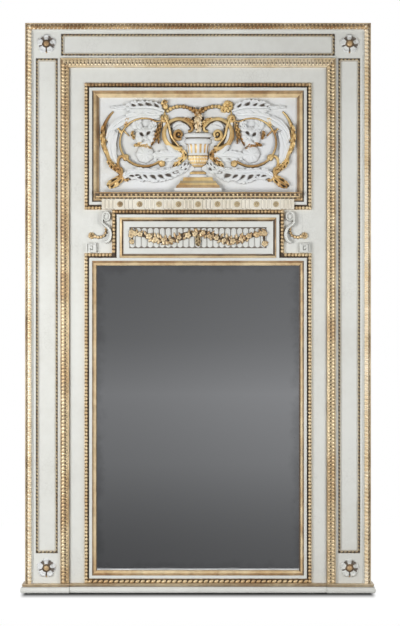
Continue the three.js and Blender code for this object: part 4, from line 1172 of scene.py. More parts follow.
class TRUMEAU_OT_framings(bpy.types.Operator):
    """Build the framings of the mirror, the garland and the relief"""

    bl_idname = "trumeau.framings"
    bl_label = "Framings"

    def execute(self, context):
        sizes = context.scene.trumeau_mouldings
        low_left = extent("left_mirror_frame")
        shoulder = extent("left_shoulder_moulding")
        garland = extent("top_garland_frame")
        relief = extent("left_relief_frame")
        seat = shoulder.back
        crest = extent("top_mirror_frame").front - seat
        mirror_box = (low_left.left, extent("right_mirror_frame").right, low_left.low, shoulder.top)
        garland_box = (garland.left, garland.right, shoulder.top, garland.top)
        relief_box = (relief.left, -relief.left, relief.low, extent("top_relief_frame").top)
        shoulder_boxes = {
            "left": (mirror_box[0], garland_box[0], *mirror_box[2:]),
            "right": (garland_box[1], mirror_box[1], *mirror_box[2:]),
        }
        band = (sizes.bead_width + sizes.groove_width) / MM
        fillet_in = band + sizes.fillet_width / MM

        # the mirror: whole strips beside and under it, and a top without pearls under the garland
        ogee_width = low_left.right - low_left.left - fillet_in
        nose = seat - extent("mirror_glass").front - 0.3
        # Each side's tones and groove darkness differ, as painted light and shade.
        choices = {
            "left": (MIRROR_LEFT_TONES, 0.95),
            "right": (MIRROR_TONES, 0.95),
            "bottom": (PLAIN_TONES, 0.3),
            "top": (PLAIN_TONES, 0.95),
        }
        for side, (tones, dark) in choices.items():
            bands = framing_bands(sizes, crest, ogee_width, 2, nose, tones, dark)
            bands = bands[1:] if side == "top" else bands
            node = side + "_mirror_frame"
            run_moulding(f"{side}_mirror_framing", node, bands, side, mirror_box, seat, FRAMING_SLOTS)

        # the garland: its sides' pearls turn into the shoulders and its fillets run into the mirror's
        panel_rise = extent("garland_panel").front - seat
        bands = framing_bands(sizes, crest, GARLAND_OGEE, panel_rise, 0, GARLAND_TONES)
        for side, slopes in (("left", (-1, 1)), ("right", (1, -1))):
            name = side + "_shoulder"
            box = shoulder_boxes[side]
            run_moulding(name, name + "_moulding", bands[:1], "top", box, seat, FRAMING_SLOTS, slopes)
        below = (*garland_box[:2], garland_box[2] - band, garland_box[3])
        inner = (*garland_box[:2], garland_box[2] - band - fillet_in, garland_box[3])
        for side, ends in (("left", (1, -1)), ("right", (-1, 1))):
            shape = Shape()
            strip(shape, bands[0], side, garland_box, seat, ends)
            strip(shape, bands[1], side, below, seat, SLOPES[side])
            tones = GARLAND_TONES if side == "left" else GARLAND_RIGHT_TONES
            ogee = framing_bands(sizes, crest, GARLAND_OGEE, panel_rise, 0, tones)[2]
            strip(shape, ogee, side, inner, seat)
            dress(f"{side}_garland_framing", shape, FRAMING_SLOTS, f"{side}_garland_frame")
        for side, parts, box in (("top", bands, garland_box), ("bottom", bands[2:], inner)):
            node = side + "_garland_frame"
            run_moulding(f"{side}_garland_framing", node, parts, side, box, seat, FRAMING_SLOTS)

        # the relief
        ogee_width = relief.right - relief.left - fillet_in
        nose = seat - extent("relief_panel").front - 0.3
        for side in SIDES:
            tones = PLAIN_TONES if side == "top" else RELIEF_TONES
            bands = framing_bands(sizes, crest, ogee_width, -4, nose, tones)
            node = side + "_relief_frame"
            run_moulding(f"{side}_relief_framing", node, bands, side, relief_box, seat, FRAMING_SLOTS)

        # pearls on every framing, and long strands under the mirror
        middle = sizes.bead_width / MM / 2
        bed = seat + crest * BED_SHARE - 0.8
        pearl = dome_unit(14.4, 13.4, crest * 0.5, turn=20, sides=12, rings=5, rim=0.6)
        pearl = unit_object("framing_pearl", pearl)
        strand = dome_unit(21, 12, crest * 0.48, turn=22, sides=12, rings=5, squareness=1.4, rim=0.5)
        strand = unit_object("framing_strand", strand)
        bead = unit_object("ogee_bead", dome_unit(6.0, 5.0, 2.6, sides=8, rings=3, rim=0.5))
        wanted = sizes.bead_pitch / MM

        def pearls(name, side, box, corner=0, unit=pearl, pitch=wanted, finish="bright_gilding"):
            step = pitch_for(side_length(side, box) - 2 * corner, pitch)
            end = corner + step / 2
            carve_row(name, unit, [run_line(side, box, middle, bed, (end, end))], step, finish)

        for side in BOTH:
            pearls(f"{side}_mirror_pearls", side, mirror_box)
            pearls(f"{side}_relief_pearls", side, relief_box)
            pearls(f"{side}_garland_pearls", side, garland_box)
            pearls(f"{side}_shoulder_pearls", "top", shoulder_boxes[side])
        pearls("bottom_mirror_strands", "bottom", mirror_box, 12, strand, 21)
        # The top rows of the relief and the garland take the toned gilding, as painted shade.
        pearls("top_relief_pearls", "top", relief_box, 12, finish="toned_and_shaded_gilding")
        pearls("bottom_relief_pearls", "bottom", relief_box, 12)
        pearls("top_garland_pearls", "top", garland_box, 12, finish="toned_and_shaded_gilding")
        inset = fillet_in + ogee_width * 0.42
        for side in BOTH:
            line = run_line(side, relief_box, inset, seat + crest * 0.4, (44, 44))
            carve_row(f"{side}_ogee_beads", bead, [line], wanted * 0.93, "bright_gilding")
        drop_units(pearl, strand, bead)
        return {"FINISHED"}


# ---- shelf ----

# The front of the cornice, from its top edge down: how far each point stands back from the edge, how
# far it lies below the top, its dirt-and-shade mark and its slot; slot 1 is the dark paint of shade.
CORNICE_FRONT = (
    (0, 0, 0.3, 0),
    (0, 4.5, 0.3, 0),
    (2.5, 5.2, 0.6, 1),
    (6, 14.5, 0.6, 1),
    (6, 15.5, 0.3, 2),
    (6.5, 20, 0.1, 2),
    (12, 20.8, 0.6, 1),
)


class TRUMEAU_OT_shelf(bpy.types.Operator):
    """Build the egg cornice and the fluted frieze under the relief"""

    bl_idname = "trumeau.shelf"
    bl_label = "Shelf"

    def execute(self, context):
        self.carve_cornice(context.scene.trumeau_mouldings.egg_pitch / MM)
        self.carve_frieze(context.scene.trumeau_carving.rose_pitch / MM)
        return {"FINISHED"}

    def carve_cornice(self, wanted):
        place = extent("egg_cornice")
        depth = place.front - place.back
        high = place.top - place.low
        section = [(0, 0, 0.3, 0), (0, high, 0.3, 0)]
        section += [(depth - back, high - down, mark, slot) for back, down, mark, slot in CORNICE_FRONT]
        section = np.array([*section, (depth - 14, 1, 0.6, 1)])
        rings = []
        for side in (-1, 1):
            x = side * (place.right - (depth - section[:, 0]))
            rings.append(np.column_stack([x, place.low + section[:, 1], place.back + section[:, 0]]))
        shape = Shape()
        shape.skin(rings, section[None, :, 2], section[None, :, 3].astype(int))
        slots = ("toned_and_shaded_gilding", "groove_shade", "bright_gilding")
        dress("shelf_moulding", shape, slots, "egg_cornice")

        egg = dome_unit(11.5, 10.5, 8.5, sides=14, rings=6, rim=0.3)
        dart = dome_unit(9, 10.5, 7.5, sides=12, rings=5, rim=0.3).moved(shift=(wanted / 2, 0, 0))
        egg = unit_object("egg_and_dart", joined(egg, dart))
        length = place.right - place.left
        pitch = pitch_for(length - 16, wanted)
        gap = (length - pitch * (round((length - 16) / pitch) - 1)) / 2
        front = place.back + depth
        run = [(place.left + gap, place.top - 10, front - 8), (place.right - gap, place.top - 10, front - 8)]
        carve_row("shelf_eggs", egg, [run], pitch, "bright_gilding")
        tooth = unit_object("shelf_tooth", dome_unit(9.5, 5.0, 2.4, sides=8, rings=3, squareness=2))
        run = [(place.left + 16, place.top - 23, front - 14), (place.right - 16, place.top - 23, front - 14)]
        carve_row("shelf_teeth", tooth, [run], pitch_for(length - 30, 16.7), "bright_gilding")
        drop_units(egg, tooth)

    def carve_frieze(self, bay):
        place = extent("fluted_frieze")
        board = place.front - 4.6
        middle = (place.top + place.low) / 2
        reach = (place.top - place.low) * 0.33
        flute = bay / 5
        half = flute * 0.36

        def fluted(x, y):
            offset = np.abs((x / bay) % 1.0 - 0.5) * bay
            nearest = np.round(offset / flute) * flute
            lane = (nearest < 1.5 * flute) & (offset < 1.5 * flute)
            aside = np.abs(offset - nearest) / half
            past = np.maximum(np.abs(y - middle) - reach, 0) / half
            inside = np.clip(1 - aside**2 - past**2, 0, 1) * lane
            # The flutes' edges are painted darker, as shade.
            return board - 2.8 * np.sqrt(inside), 0.85 * hump(inside, 0.12, 0.2) * (inside > 0) + 0 * y

        shape = Shape()
        plate(shape, place.left, place.right, place.low + 0.2, place.top, 640, 22, place.back, fluted)
        dress("frieze_board", shape, ("frieze_paint",), "fluted_frieze")

        def height(r, a):
            petals = 0.3 * np.sin(math.pi * r) * np.abs(np.cos(3 * a))
            return 4.6 * (0.5 + petals + 0.5 * hump(r, 0, 0.25))

        # The rose's inner ring and its rim are painted dark, as shade.
        def dark(r, a):
            return np.clip(0.6 * hump(r, 0.42, 0.12) + 0.4 * ease(0.85, 1, r), 0, 1) + 0 * a

        rose = Shape()
        boss(rose, 0, 0, lambda a: 12.0 * (0.97 + 0.03 * np.cos(8 * a)), height, 6, 24, hollow=dark)
        rose = unit_object("frieze_rose", rose)
        last = math.floor(place.right / bay - 0.5) * bay
        run = [(-last, middle, board), (last, middle, board)]
        carve_row("frieze_roses", rose, [run], bay * 0.9995, "worn_bronze", "aged_gilding")
        drop_units(rose)


# ---- relief ----

# The relief is drawn outwards from the centre line and up from the shelf, on a sheet of this size.
SHEET_HALF = 398
SHEET_HEIGHT = 383
SHEET_RISE = 24


def place_relief(name, shape, side, finishes, node):
    """Fits a drawn shape to the relief's opening, on its own side of the centre line."""
    shelf = extent("egg_cornice").top
    sight = extent("left_relief_frame").right
    top = extent("top_relief_frame").low
    rise = bpy.context.scene.trumeau_carving.relief_rise / MM / SHEET_RISE
    shape = shape.mirrored() if side == "left" else shape
    scale = (-sight / SHEET_HALF, (top - shelf) / SHEET_HEIGHT, rise)
    shape.moved(scale, (0, shelf, extent("relief_panel").front))
    dress(name, shape, finishes, node)


HORN = [*arc(77, 238, 56, 57, -104, 142, 1, 12), [25, 262], [29, 250], [40, 249]]
OUTER_STEM = [*arc(245, 226, 138, 140, 46, -30), *arc(245, 226, 146, 148, -42, -70, 1.11, 4)]
RING = [[140, 292], *arc(215, 203, 99, 97, 120, -128, 1, 16)]

# Each leaf: its line, its width to the left and to the right of it, its rise, its lobes and its eyes.
WHITE_LEAVES = (
    ([[150, 312], [206, 314], [258, 308], [306, 290], [346, 256], [366, 214]], 18, 24, 11, 2, 0.0),
    ([[330, 118], [345, 158], [346, 204], [330, 244]], 22, 24, 10, 1, 0.0),
    ([[136, 324], [168, 336], [204, 341], [240, 340], [284, 340]], 32, 26, 18, 5, (1, 0.1)),
    ([[262, 340], [300, 345], [352, 344]], 7, 9, 10, 2, 0.0),
    ([[300, 62], [274, 82], [238, 86], [198, 84], [158, 84], [116, 88], [70, 104]], 44, 15, 17, 8, (1.1, 0)),
    ([[62, 150], [98, 149], [134, 147], [176, 142]], 28, 26, 12, 3, (0, 0.4)),
    ([[104, 88], [80, 88], [58, 98], [42, 118]], 18, 20, 12, 3, 0.8),
    ([[226, 246], [246, 268], [242, 296]], 20, 18, 11, 2, 0.3),
    ([[196, 250], [178, 268], [186, 288]], 14, 18, 11, 2, 0.3),
)
GILT_LEAVES = (
    (arc(243, 226, 138, 140, 22, -30, 1, 6), 13, 7, 19, 4, 0.6),
    (arc(245, 226, 146, 148, -36, -62, 1.06, 4), 14, 13, 17, 4, 0.9),
    ([[302, 70], [318, 54], [336, 42], [358, 26]], 19, 19, 14, 2, 0.8),
    ([[316, 82], [300, 64], [282, 50]], 12, 12, 12, 2, 0.6),
    ([[148, 284], [160, 258], [168, 228], [186, 190]], 7, 6, 16, 5, 1.0),
    ([[148, 272], [158, 240], [158, 198]], 6, 6, 13, 4, 1.0),
    ([[290, 262], [286, 280], [283, 300]], 10, 10, 12, 2, 0.5),
    ([[258, 190], [236, 194], [212, 188], [188, 178]], 7, 8, 14, 4, 1.0),
    ([[262, 250], [264, 236], [258, 216]], 6, 8, 14, 2, 0.6),
)
LAST_LEFT_LEAF = ([[131, 338], [136, 354], [130, 370]], 12, 12, 15, 2, 0.9)


def leaves(shape, drawn, depth, seed):
    """Carves a list of drawn leaves."""
    for i, (line, left, right, rise, lobes, eyes) in enumerate(drawn):
        acanthus(shape, line, left, right, rise, lobes, eyes=np.multiply(eyes, depth), seed=seed + i)


def flower(shape, x, y, size, petals, seed, start=None, deep=None):
    """A full-blown flower whose petals curl round dark eyes of uneven size."""
    chance = np.random.default_rng(seed)
    start = chance.uniform(0, 2 * math.pi) if start is None else start
    deep = chance.permutation(np.linspace(0.2, 1.15, petals)) if deep is None else np.array(deep)

    def petal_gap(r, a):
        turned = petals * (a - start - 0.45 * r) / (2 * math.pi)
        return np.abs(turned - np.round(turned)) * 2, np.round(turned).astype(int) % petals

    def outline(a):
        return size * (0.86 + 0.14 * np.sin(math.pi * petal_gap(1, a)[0] / 2) ** 0.7)

    def eye(r, a):
        beside, which = petal_gap(r, a)
        wide = 0.2 + 0.2 * ease(0.75, 0.35, r)
        return hump(beside, 0, wide) * hump(r, 0.5, 0.19) * deep[which]

    def surface(r, a):
        beside = petal_gap(r, a)[0]
        crown = 0.45 + 0.55 * np.sin(math.pi * beside / 2)
        cup = 8 + 9 * np.sin(math.pi * np.clip(r * 0.9 + 0.1, 0, 1)) * crown
        heart = 7 * hump(r, 0.0, 0.16) - 4 * hump(r, 0.26, 0.08)
        return cup + heart + 2.2 * np.sin(2 * math.pi * beside) * r - 8 * eye(r, a)

    # The eyes, the ring round the heart and the rim are painted dark, as shade.
    def marks(r, a):
        return np.clip(1.3 * eye(r, a) + 0.3 * hump(r, 0.26, 0.06) + 0.4 * r**8, 0, 1)

    boss(shape, x, y, outline, surface, 16, 90, hollow=marks)


def bud(shape, x, y, size, rise, finish=0):
    """A round bud with a split tip."""

    def height(r, a):
        return rise * (0.5 + 0.5 * dome(r)) * (1 - 0.12 * np.cos(3 * a) * r)

    # The rim and the splits of the tip are painted dark, as shade.
    def dark(r, a):
        return 0.6 * r**6 + 0.35 * hump(np.cos(3 * a), -1, 0.3) * r

    boss(shape, x, y, lambda a: size * (1 + 0.06 * np.cos(5 * a)), height, 8, 24, 0.0, finish, dark)


def fluted_ball(shape, x, y, size):
    """A round fluted boss."""

    def height(r, a):
        return 4 + 11 * dome(r) + 1.6 * np.cos(9 * a) * r * (1 - r**4)

    # The rim and the flutes are painted dark, as shade.
    def dark(r, a):
        return 0.5 * r**8 + 0.3 * hump(np.cos(9 * a), -1, 0.3) * hump(r, 0.6, 0.25)

    boss(shape, x, y, lambda a: size * (1 + 0.03 * np.cos(7 * a)), height, 10, 90, hollow=dark)


def shadowed(shape):
    """The same shape, dark all over."""
    shape.hollow = [np.ones_like(marks) for marks in shape.hollow]
    return shape


class TRUMEAU_OT_horns(bpy.types.Operator):
    """Carve the horn handles and their ribbons"""

    bl_idname = "trumeau.horns"
    bl_label = "Horns"

    def execute(self, context):
        radii = [8, 12, 13.5, 13.5, 12, 10, 9.5, 9.5, 9, 8, 6]
        volute = arc(78, 234, 17, 18, -130, 230, 0.6, 9)
        husk = [[84, 184], [68, 170], [56, 150], [72, 132], [94, 108], [98, 84]]
        for seed, side in enumerate(("left", "right")):
            shape = Shape()
            stem(shape, HORN, radii, 84, 0.6, ridge=0.2, sides=15, shade=0.95)
            stem(shape, volute, [7, 9, 9, 8, 8, 7, 6], 44, 0.85, ridge=0.2, sides=13, shade=0.9)
            bud(shape, 78, 234, 6, 16)
            stem(shape, [[132, 306], [118, 274], [106, 226], [78, 188]], [4.5, 5, 4.5, 3.5], 26, 2.6)
            acanthus(shape, husk, 12, 12, 13, 5, eyes=0.9, seed=seed + 3)
            acanthus(shape, [[60, 296], [36, 290], [20, 272]], 6, 10, 13, 3, eyes=0.5, seed=seed + 5)
            # A dark sheet under the horn's curve, painted as the shade of its deep undercut.
            dark = Shape()
            stem(dark, [[106, 262], [113, 232], [104, 207], [86, 190]], [4, 8, 9, 4], 30, 0.1)
            shape = joined(shape, shadowed(dark))
            place_relief(f"{side}_horn_carving", shape, side, ("relief_gilding",), f"{side}_horn")
        return {"FINISHED"}


class TRUMEAU_OT_leaf_scrolls(bpy.types.Operator):
    """Carve the scrolling leaves, their gilt stems and their flowers"""

    bl_idname = "trumeau.leaf_scrolls"
    bl_label = "Leaf scrolls"

    def execute(self, context):
        depth = context.scene.trumeau_carving.eyes
        for seed, side in ((0, "left"), (40, "right")):
            node = f"{side}_leaf_scroll"
            white = self.white_leaves(depth, seed)
            place_relief(f"{side}_scroll_leaves", white, side, ("carving_paint",), node)
            gilt = self.gilt_stems(depth, seed)
            if side == "left":
                bud(gilt, 131, 346, 12, 16)
                leaves(gilt, (LAST_LEFT_LEAF,), 1.0, 23)
            else:
                flower(gilt, 120, 350, 22, 5, 24)
                flower(gilt, 104, 336, 15, 4, 25)
            place_relief(f"{side}_scroll_stems", gilt, side, ("relief_gilding",), node)
        return {"FINISHED"}

    def white_leaves(self, depth, seed):
        shape = Shape()
        leaves(shape, WHITE_LEAVES, depth, seed)
        column = [[136, 284], [127, 250], [122, 214], [110, 180], [86, 158]]
        stem(shape, column, [7, 10, 12, 15, 10], 34, 0.35)
        stem(shape, [[102, 262], [92, 274], [76, 281], [58, 277]], [4, 8, 9, 4], 16, 0.3)
        flower(shape, 210, 224, 43, 4, seed + 7, start=0.38, deep=(1.5, 1.5, 0.2, 0.5))
        fluted_ball(shape, 213, 156, 37)
        return shape

    def gilt_stems(self, depth, seed):
        shape = Shape()
        radii = [4, 6, 8.5, 10, 10, 9, 8, 8]
        stem(shape, OUTER_STEM, radii, 70, 0.6, ridge=0.3, sides=11, shade=0.5)
        stem(shape, RING, [3.5, 4, 4.5, 4, 4, 5, 5.5, 5, 5], 110, 2.4, ridge=0.2, shade=0.5)
        cuff = [[252, 194], [236, 189], [220, 189], [206, 194]]
        for place in smooth_line(cuff, 6)[0]:
            bud(shape, *place, 4.4, 17)
        stem(shape, [*arc(338, 222, 33, 42, -20, 120, 1, 5), [309, 245]], [3, 3.2, 3.2, 4.5], 30, 1.1)
        curl = [[306, 76], *arc(304, 122, 18, 27, -80, 95, 1, 5), [290, 142]]
        stem(shape, curl, [6, 6, 6, 5], 30, 0.9, ridge=0.2)
        stem(shape, [[297, 251], [288, 240], [277, 228]], [3, 3, 2], 8, 1.2)
        leaves(shape, GILT_LEAVES, depth, seed + 10)
        for x, y, size, rise in ((290, 142, 14, 16), (309, 245, 8, 13), (145, 118, 14, 15)):
            bud(shape, x, y, size, rise)
        flower(shape, 134, 298, 18, 4, seed + 19)
        stem(shape, [[132, 300], [134, 322], [131, 350]], [5, 3.5, 4], 14, 0.9)
        return shape


# The kinds of surface on the urn.
PLAIN, LATTICED, FLUTED = 0, 1, 2


def round_part(kind, *curve):
    """A rounded part of an outline, along an arc."""
    return [(x, y, kind, 0.0) for x, y in arc(*curve)]


# The urn's half outline, from its foot up: radius, height, the kind of its surface and a dirt-and-shade
# mark, which paints shade under its rolls and in its necks.
URN_OUTLINE = (
    (10, 62, PLAIN, 0.5),
    *round_part(PLAIN, 32, 68, 6, 6, -90, 90, 1, 6),
    (29, 75, LATTICED, 0.6),
    *round_part(LATTICED, 29, 80, 4, 4.5, -80, 80, 1, 5),
    (26, 86, PLAIN, 0.5),
    (17, 91, PLAIN, 0.2),
    (14, 97, PLAIN, 0.0),
    (15, 103, LATTICED, 0.5),
    *round_part(LATTICED, 8, 149, 34, 45, -68, -2, 1, 12),
    (41.5, 150, LATTICED, 0.7),
    (43.5, 152, PLAIN, 0.0),
    (43.5, 155, PLAIN, 0.3),
    (43, 160, FLUTED, 0.0),
    (44.5, 176, FLUTED, 0.0),
    (47, 192, FLUTED, 0.0),
    (49, 196, PLAIN, 0.4),
    (54, 199, PLAIN, 0.0),
    (55, 206, PLAIN, 0.0),
    (54, 214, PLAIN, 0.1),
    (48, 217, PLAIN, 0.5),
    (47.5, 221, PLAIN, 0.95),
    (52, 222.5, PLAIN, 0.6),
    *round_part(PLAIN, 51, 231, 7.5, 8, -80, 80, 1, 6),
    (46, 240, PLAIN, 0.2),
    (10, 241, PLAIN, 0.3),
)

# The bowl is carved in diamonds above this height, and only gilded below it.
BOWL_FOOT = 104

# The flattening of the urn, whose full radius would stand out this far.
URN_FLATTENING = SHEET_RISE / 58

# The pedestal's steps: half width, foot, top, how far it stands out, and its slot.
PEDESTAL_STEPS = (
    (95, 0, 19, 23, 0),
    (89, 19, 31, 22, 2),
    (80, 31, 38, 20, 1),
    (75, 38, 48, 18, 3),
    (62, 48, 61.7, 16, 1),
)
URN_SLOTS = ("carving_paint", "relief_gilding", "toned_and_shaded_gilding", "worn_bronze")


class TRUMEAU_OT_urn(bpy.types.Operator):
    """Turn the urn, step its pedestal and hang the festoon"""

    bl_idname = "trumeau.urn"
    bl_label = "Urn"

    def execute(self, context):
        place_relief("urn_carving", self.turned_urn(), "right", URN_SLOTS, "urn")
        place_relief("urn_pedestal_carving", self.stepped_pedestal(), "right", URN_SLOTS, "urn_pedestal")
        slots = ("relief_gilding", "pale_gilding")
        place_relief("festoon_carving", self.hung_festoon(), "right", slots, "festoon")
        return {"FINISHED"}

    def turned_urn(self):
        angle = np.linspace(-math.pi / 2, math.pi / 2, 141)
        rings = []
        marks = []
        kinds = []
        for radius, up, kind, hollow in URN_OUTLINE:
            around = radius + 0 * angle
            # The urn also darkens towards its sides, where it turns away, and along its flutes and lattice,
            # as painted shade.
            mark = hollow + 0.45 * np.abs(np.sin(angle)) ** 12
            finish = np.full(len(angle), 0)
            if kind == FLUTED:
                wave = np.cos(14 * angle)
                around = radius * (1 - 0.06 * (1 - wave) / 2)
                finish = np.where(wave < -0.3, 1, 0)
                mark = mark + 0.35 * hump(wave, -0.2, 0.2)
            if kind == LATTICED:
                wave = np.cos(12 * angle + 0.25 * up) * np.cos(12 * angle - 0.25 * up)
                around = radius * (1 + 0.03 * wave)
                finish = np.where(wave < 0.45, 1, 0) if up > BOWL_FOOT else finish + 1
                mark = mark + 0.4 * hump(wave, 0.3, 0.2)
            out = around * np.cos(angle) * URN_FLATTENING
            rings.append(np.column_stack([around * np.sin(angle), np.full(len(angle), up), out]))
            marks.append(np.clip(mark, 0, 1))
            kinds.append(finish)
        shape = Shape()
        shape.skin(rings, marks, np.array(kinds)[:-1])
        return shape

    def stepped_pedestal(self):
        shape = Shape()
        for half, low, top, out, finish in PEDESTAL_STEPS:
            lean = 0 if finish == 0 else 4
            rings = []
            for inset, z in ((0, 0), (0, out - 2), (0.8, out)):
                x0, x1 = half - inset, half - inset - lean
                rings.append([(-x0, low, z), (x0, low, z), (x1, top, z), (-x1, top, z)])
            # Each step darkens towards the panel behind it, as painted shade.
            shape.skin(rings, np.array([[0.5], [0.3], [0.0]]), finish)
        return shape

    def hung_festoon(self):
        string = [[8, 330], *arc(70, 316, 56, 31, 158, 24)]
        swag = Shape()
        stem(swag, string, [5, 6, 6, 5], 40, 0.6)
        # The festoon's string is painted dark all over, as the shade between its buds.
        shadowed(swag)
        for i, place in enumerate(smooth_line(string, 9)[0]):
            bud(swag, *place, 8.5 - 1.5 * (i % 2), 17)
        # Dark stems behind the swag, painted as its shade.
        behind = Shape()
        stem(behind, [[19, 306], [15, 276], [4, 252]], [4, 7, 3], 20, 0.4)
        stem(behind, [[24, 344], [14, 334], [4, 326]], [3, 6, 6], 12, 0.4)
        swag = joined(swag, shadowed(behind))
        middle = Shape()
        drop = [[0, 326], [0, 300], [0, 272], [0, 244]]
        acanthus(middle, drop, 17, 17, 20, 3, eyes=0.4, seed=33, sweep=0.5, finish=1)
        for tip in (-17, 17):
            line = [[tip * 0.2, 306], [tip * 0.6, 324], [tip, 342]]
            acanthus(middle, line, 7, 7, 20, 2, eyes=0.6, seed=34)
        bud(middle, 0, 292, 12, 25, 1)
        return joined(swag, swag.mirrored(), middle)


# ---- small carving ----

ROSETTE_SLOTS = ("carving_paint", "toned_and_shaded_gilding")


def petal(a):
    """How near the middle of one of five petals an angle lies, with a gap straight down."""
    return np.abs(np.cos(2.5 * (a - math.pi / 2)))


def gap(r, a, width):
    """The dark gap between petals, painted as shade, and wider on the upper right, away from the light."""
    wide = width * (1 + 0.6 * np.cos(a - math.pi / 4))
    return hump(petal(a), 0, wide) * ease(0.42, 0.52, r) * (1 - ease(0.88, 1.0, r))


def rosette(x, y, size, rise, back):
    """A rosette of five petals round a boss, with a bead in its lowest gap."""

    def outline(a):
        return size * (0.78 + 0.22 * petal(a) ** 0.5) * (1 - 0.09 * hump(petal(a), 0.72, 0.09))

    def petals(r, a):
        cup = 0.42 * np.sin(math.pi * np.clip(r * 1.02, 0, 1)) * (0.4 + 0.6 * petal(a))
        lip = 0.3 * hump(r, 0.86, 0.1) * petal(a)
        dimple = 0.16 * hump(petal(a), 1, 0.22) * hump(r, 0.66, 0.18)
        return rise * np.maximum(0.12, 0.3 + cup + lip - dimple - 0.5 * gap(r, a, 0.4))

    def shadows(r, a):
        heart = 0.6 * hump(r, 0.38, 0.06)
        dimple = 0.25 * hump(petal(a), 1, 0.2) * hump(r, 0.62, 0.14)
        nick = 0.4 * hump(petal(a), 0.72, 0.06) * hump(r, 0.86, 0.09)
        return np.clip(1.7 * gap(r, a, 0.42) + heart + dimple + nick, 0, 1)

    def button(r, a):
        return rise * (0.5 + 0.45 * dome(r) - 0.14 * hump(r, 0.55, 0.12))

    def button_shadows(r, a):
        return np.clip(0.65 * hump(r, 0.72, 0.24) + 0.3 * ease(0.8, 1, r), 0, 1) + 0 * a

    def button_edge(a):
        return size * 0.46 * (1 + 0.05 * np.cos(8 * a))

    shape = Shape()
    boss(shape, x, y, outline, petals, 22, 180, back, hollow=shadows)
    boss(shape, x, y, button_edge, button, 10, 40, back, 1, button_shadows)
    below = y - size * 0.86
    boss(shape, x, below, lambda a: size * 0.1, lambda r, a: rise * 0.5 * dome(r), 4, 12, back, 1)
    return shape


class TRUMEAU_OT_corner_rosettes(bpy.types.Operator):
    """Carve the rosettes in the four corners"""

    bl_idname = "trumeau.corner_rosettes"
    bl_label = "Corner rosettes"

    def execute(self, context):
        for side in BOTH:
            for level in ("upper", "lower"):
                node = f"{side}_{level}_rosette"
                place = extent(node)
                x, y = (place.left + place.right) / 2, (place.low + place.top) / 2
                size = (place.right - place.left) / 2
                shape = rosette(x, y, size, place.front - place.back, place.back)
                dress(node + "_carving", shape, ROSETTE_SLOTS, node)
        return {"FINISHED"}


GARLAND_BORDER = 21.0


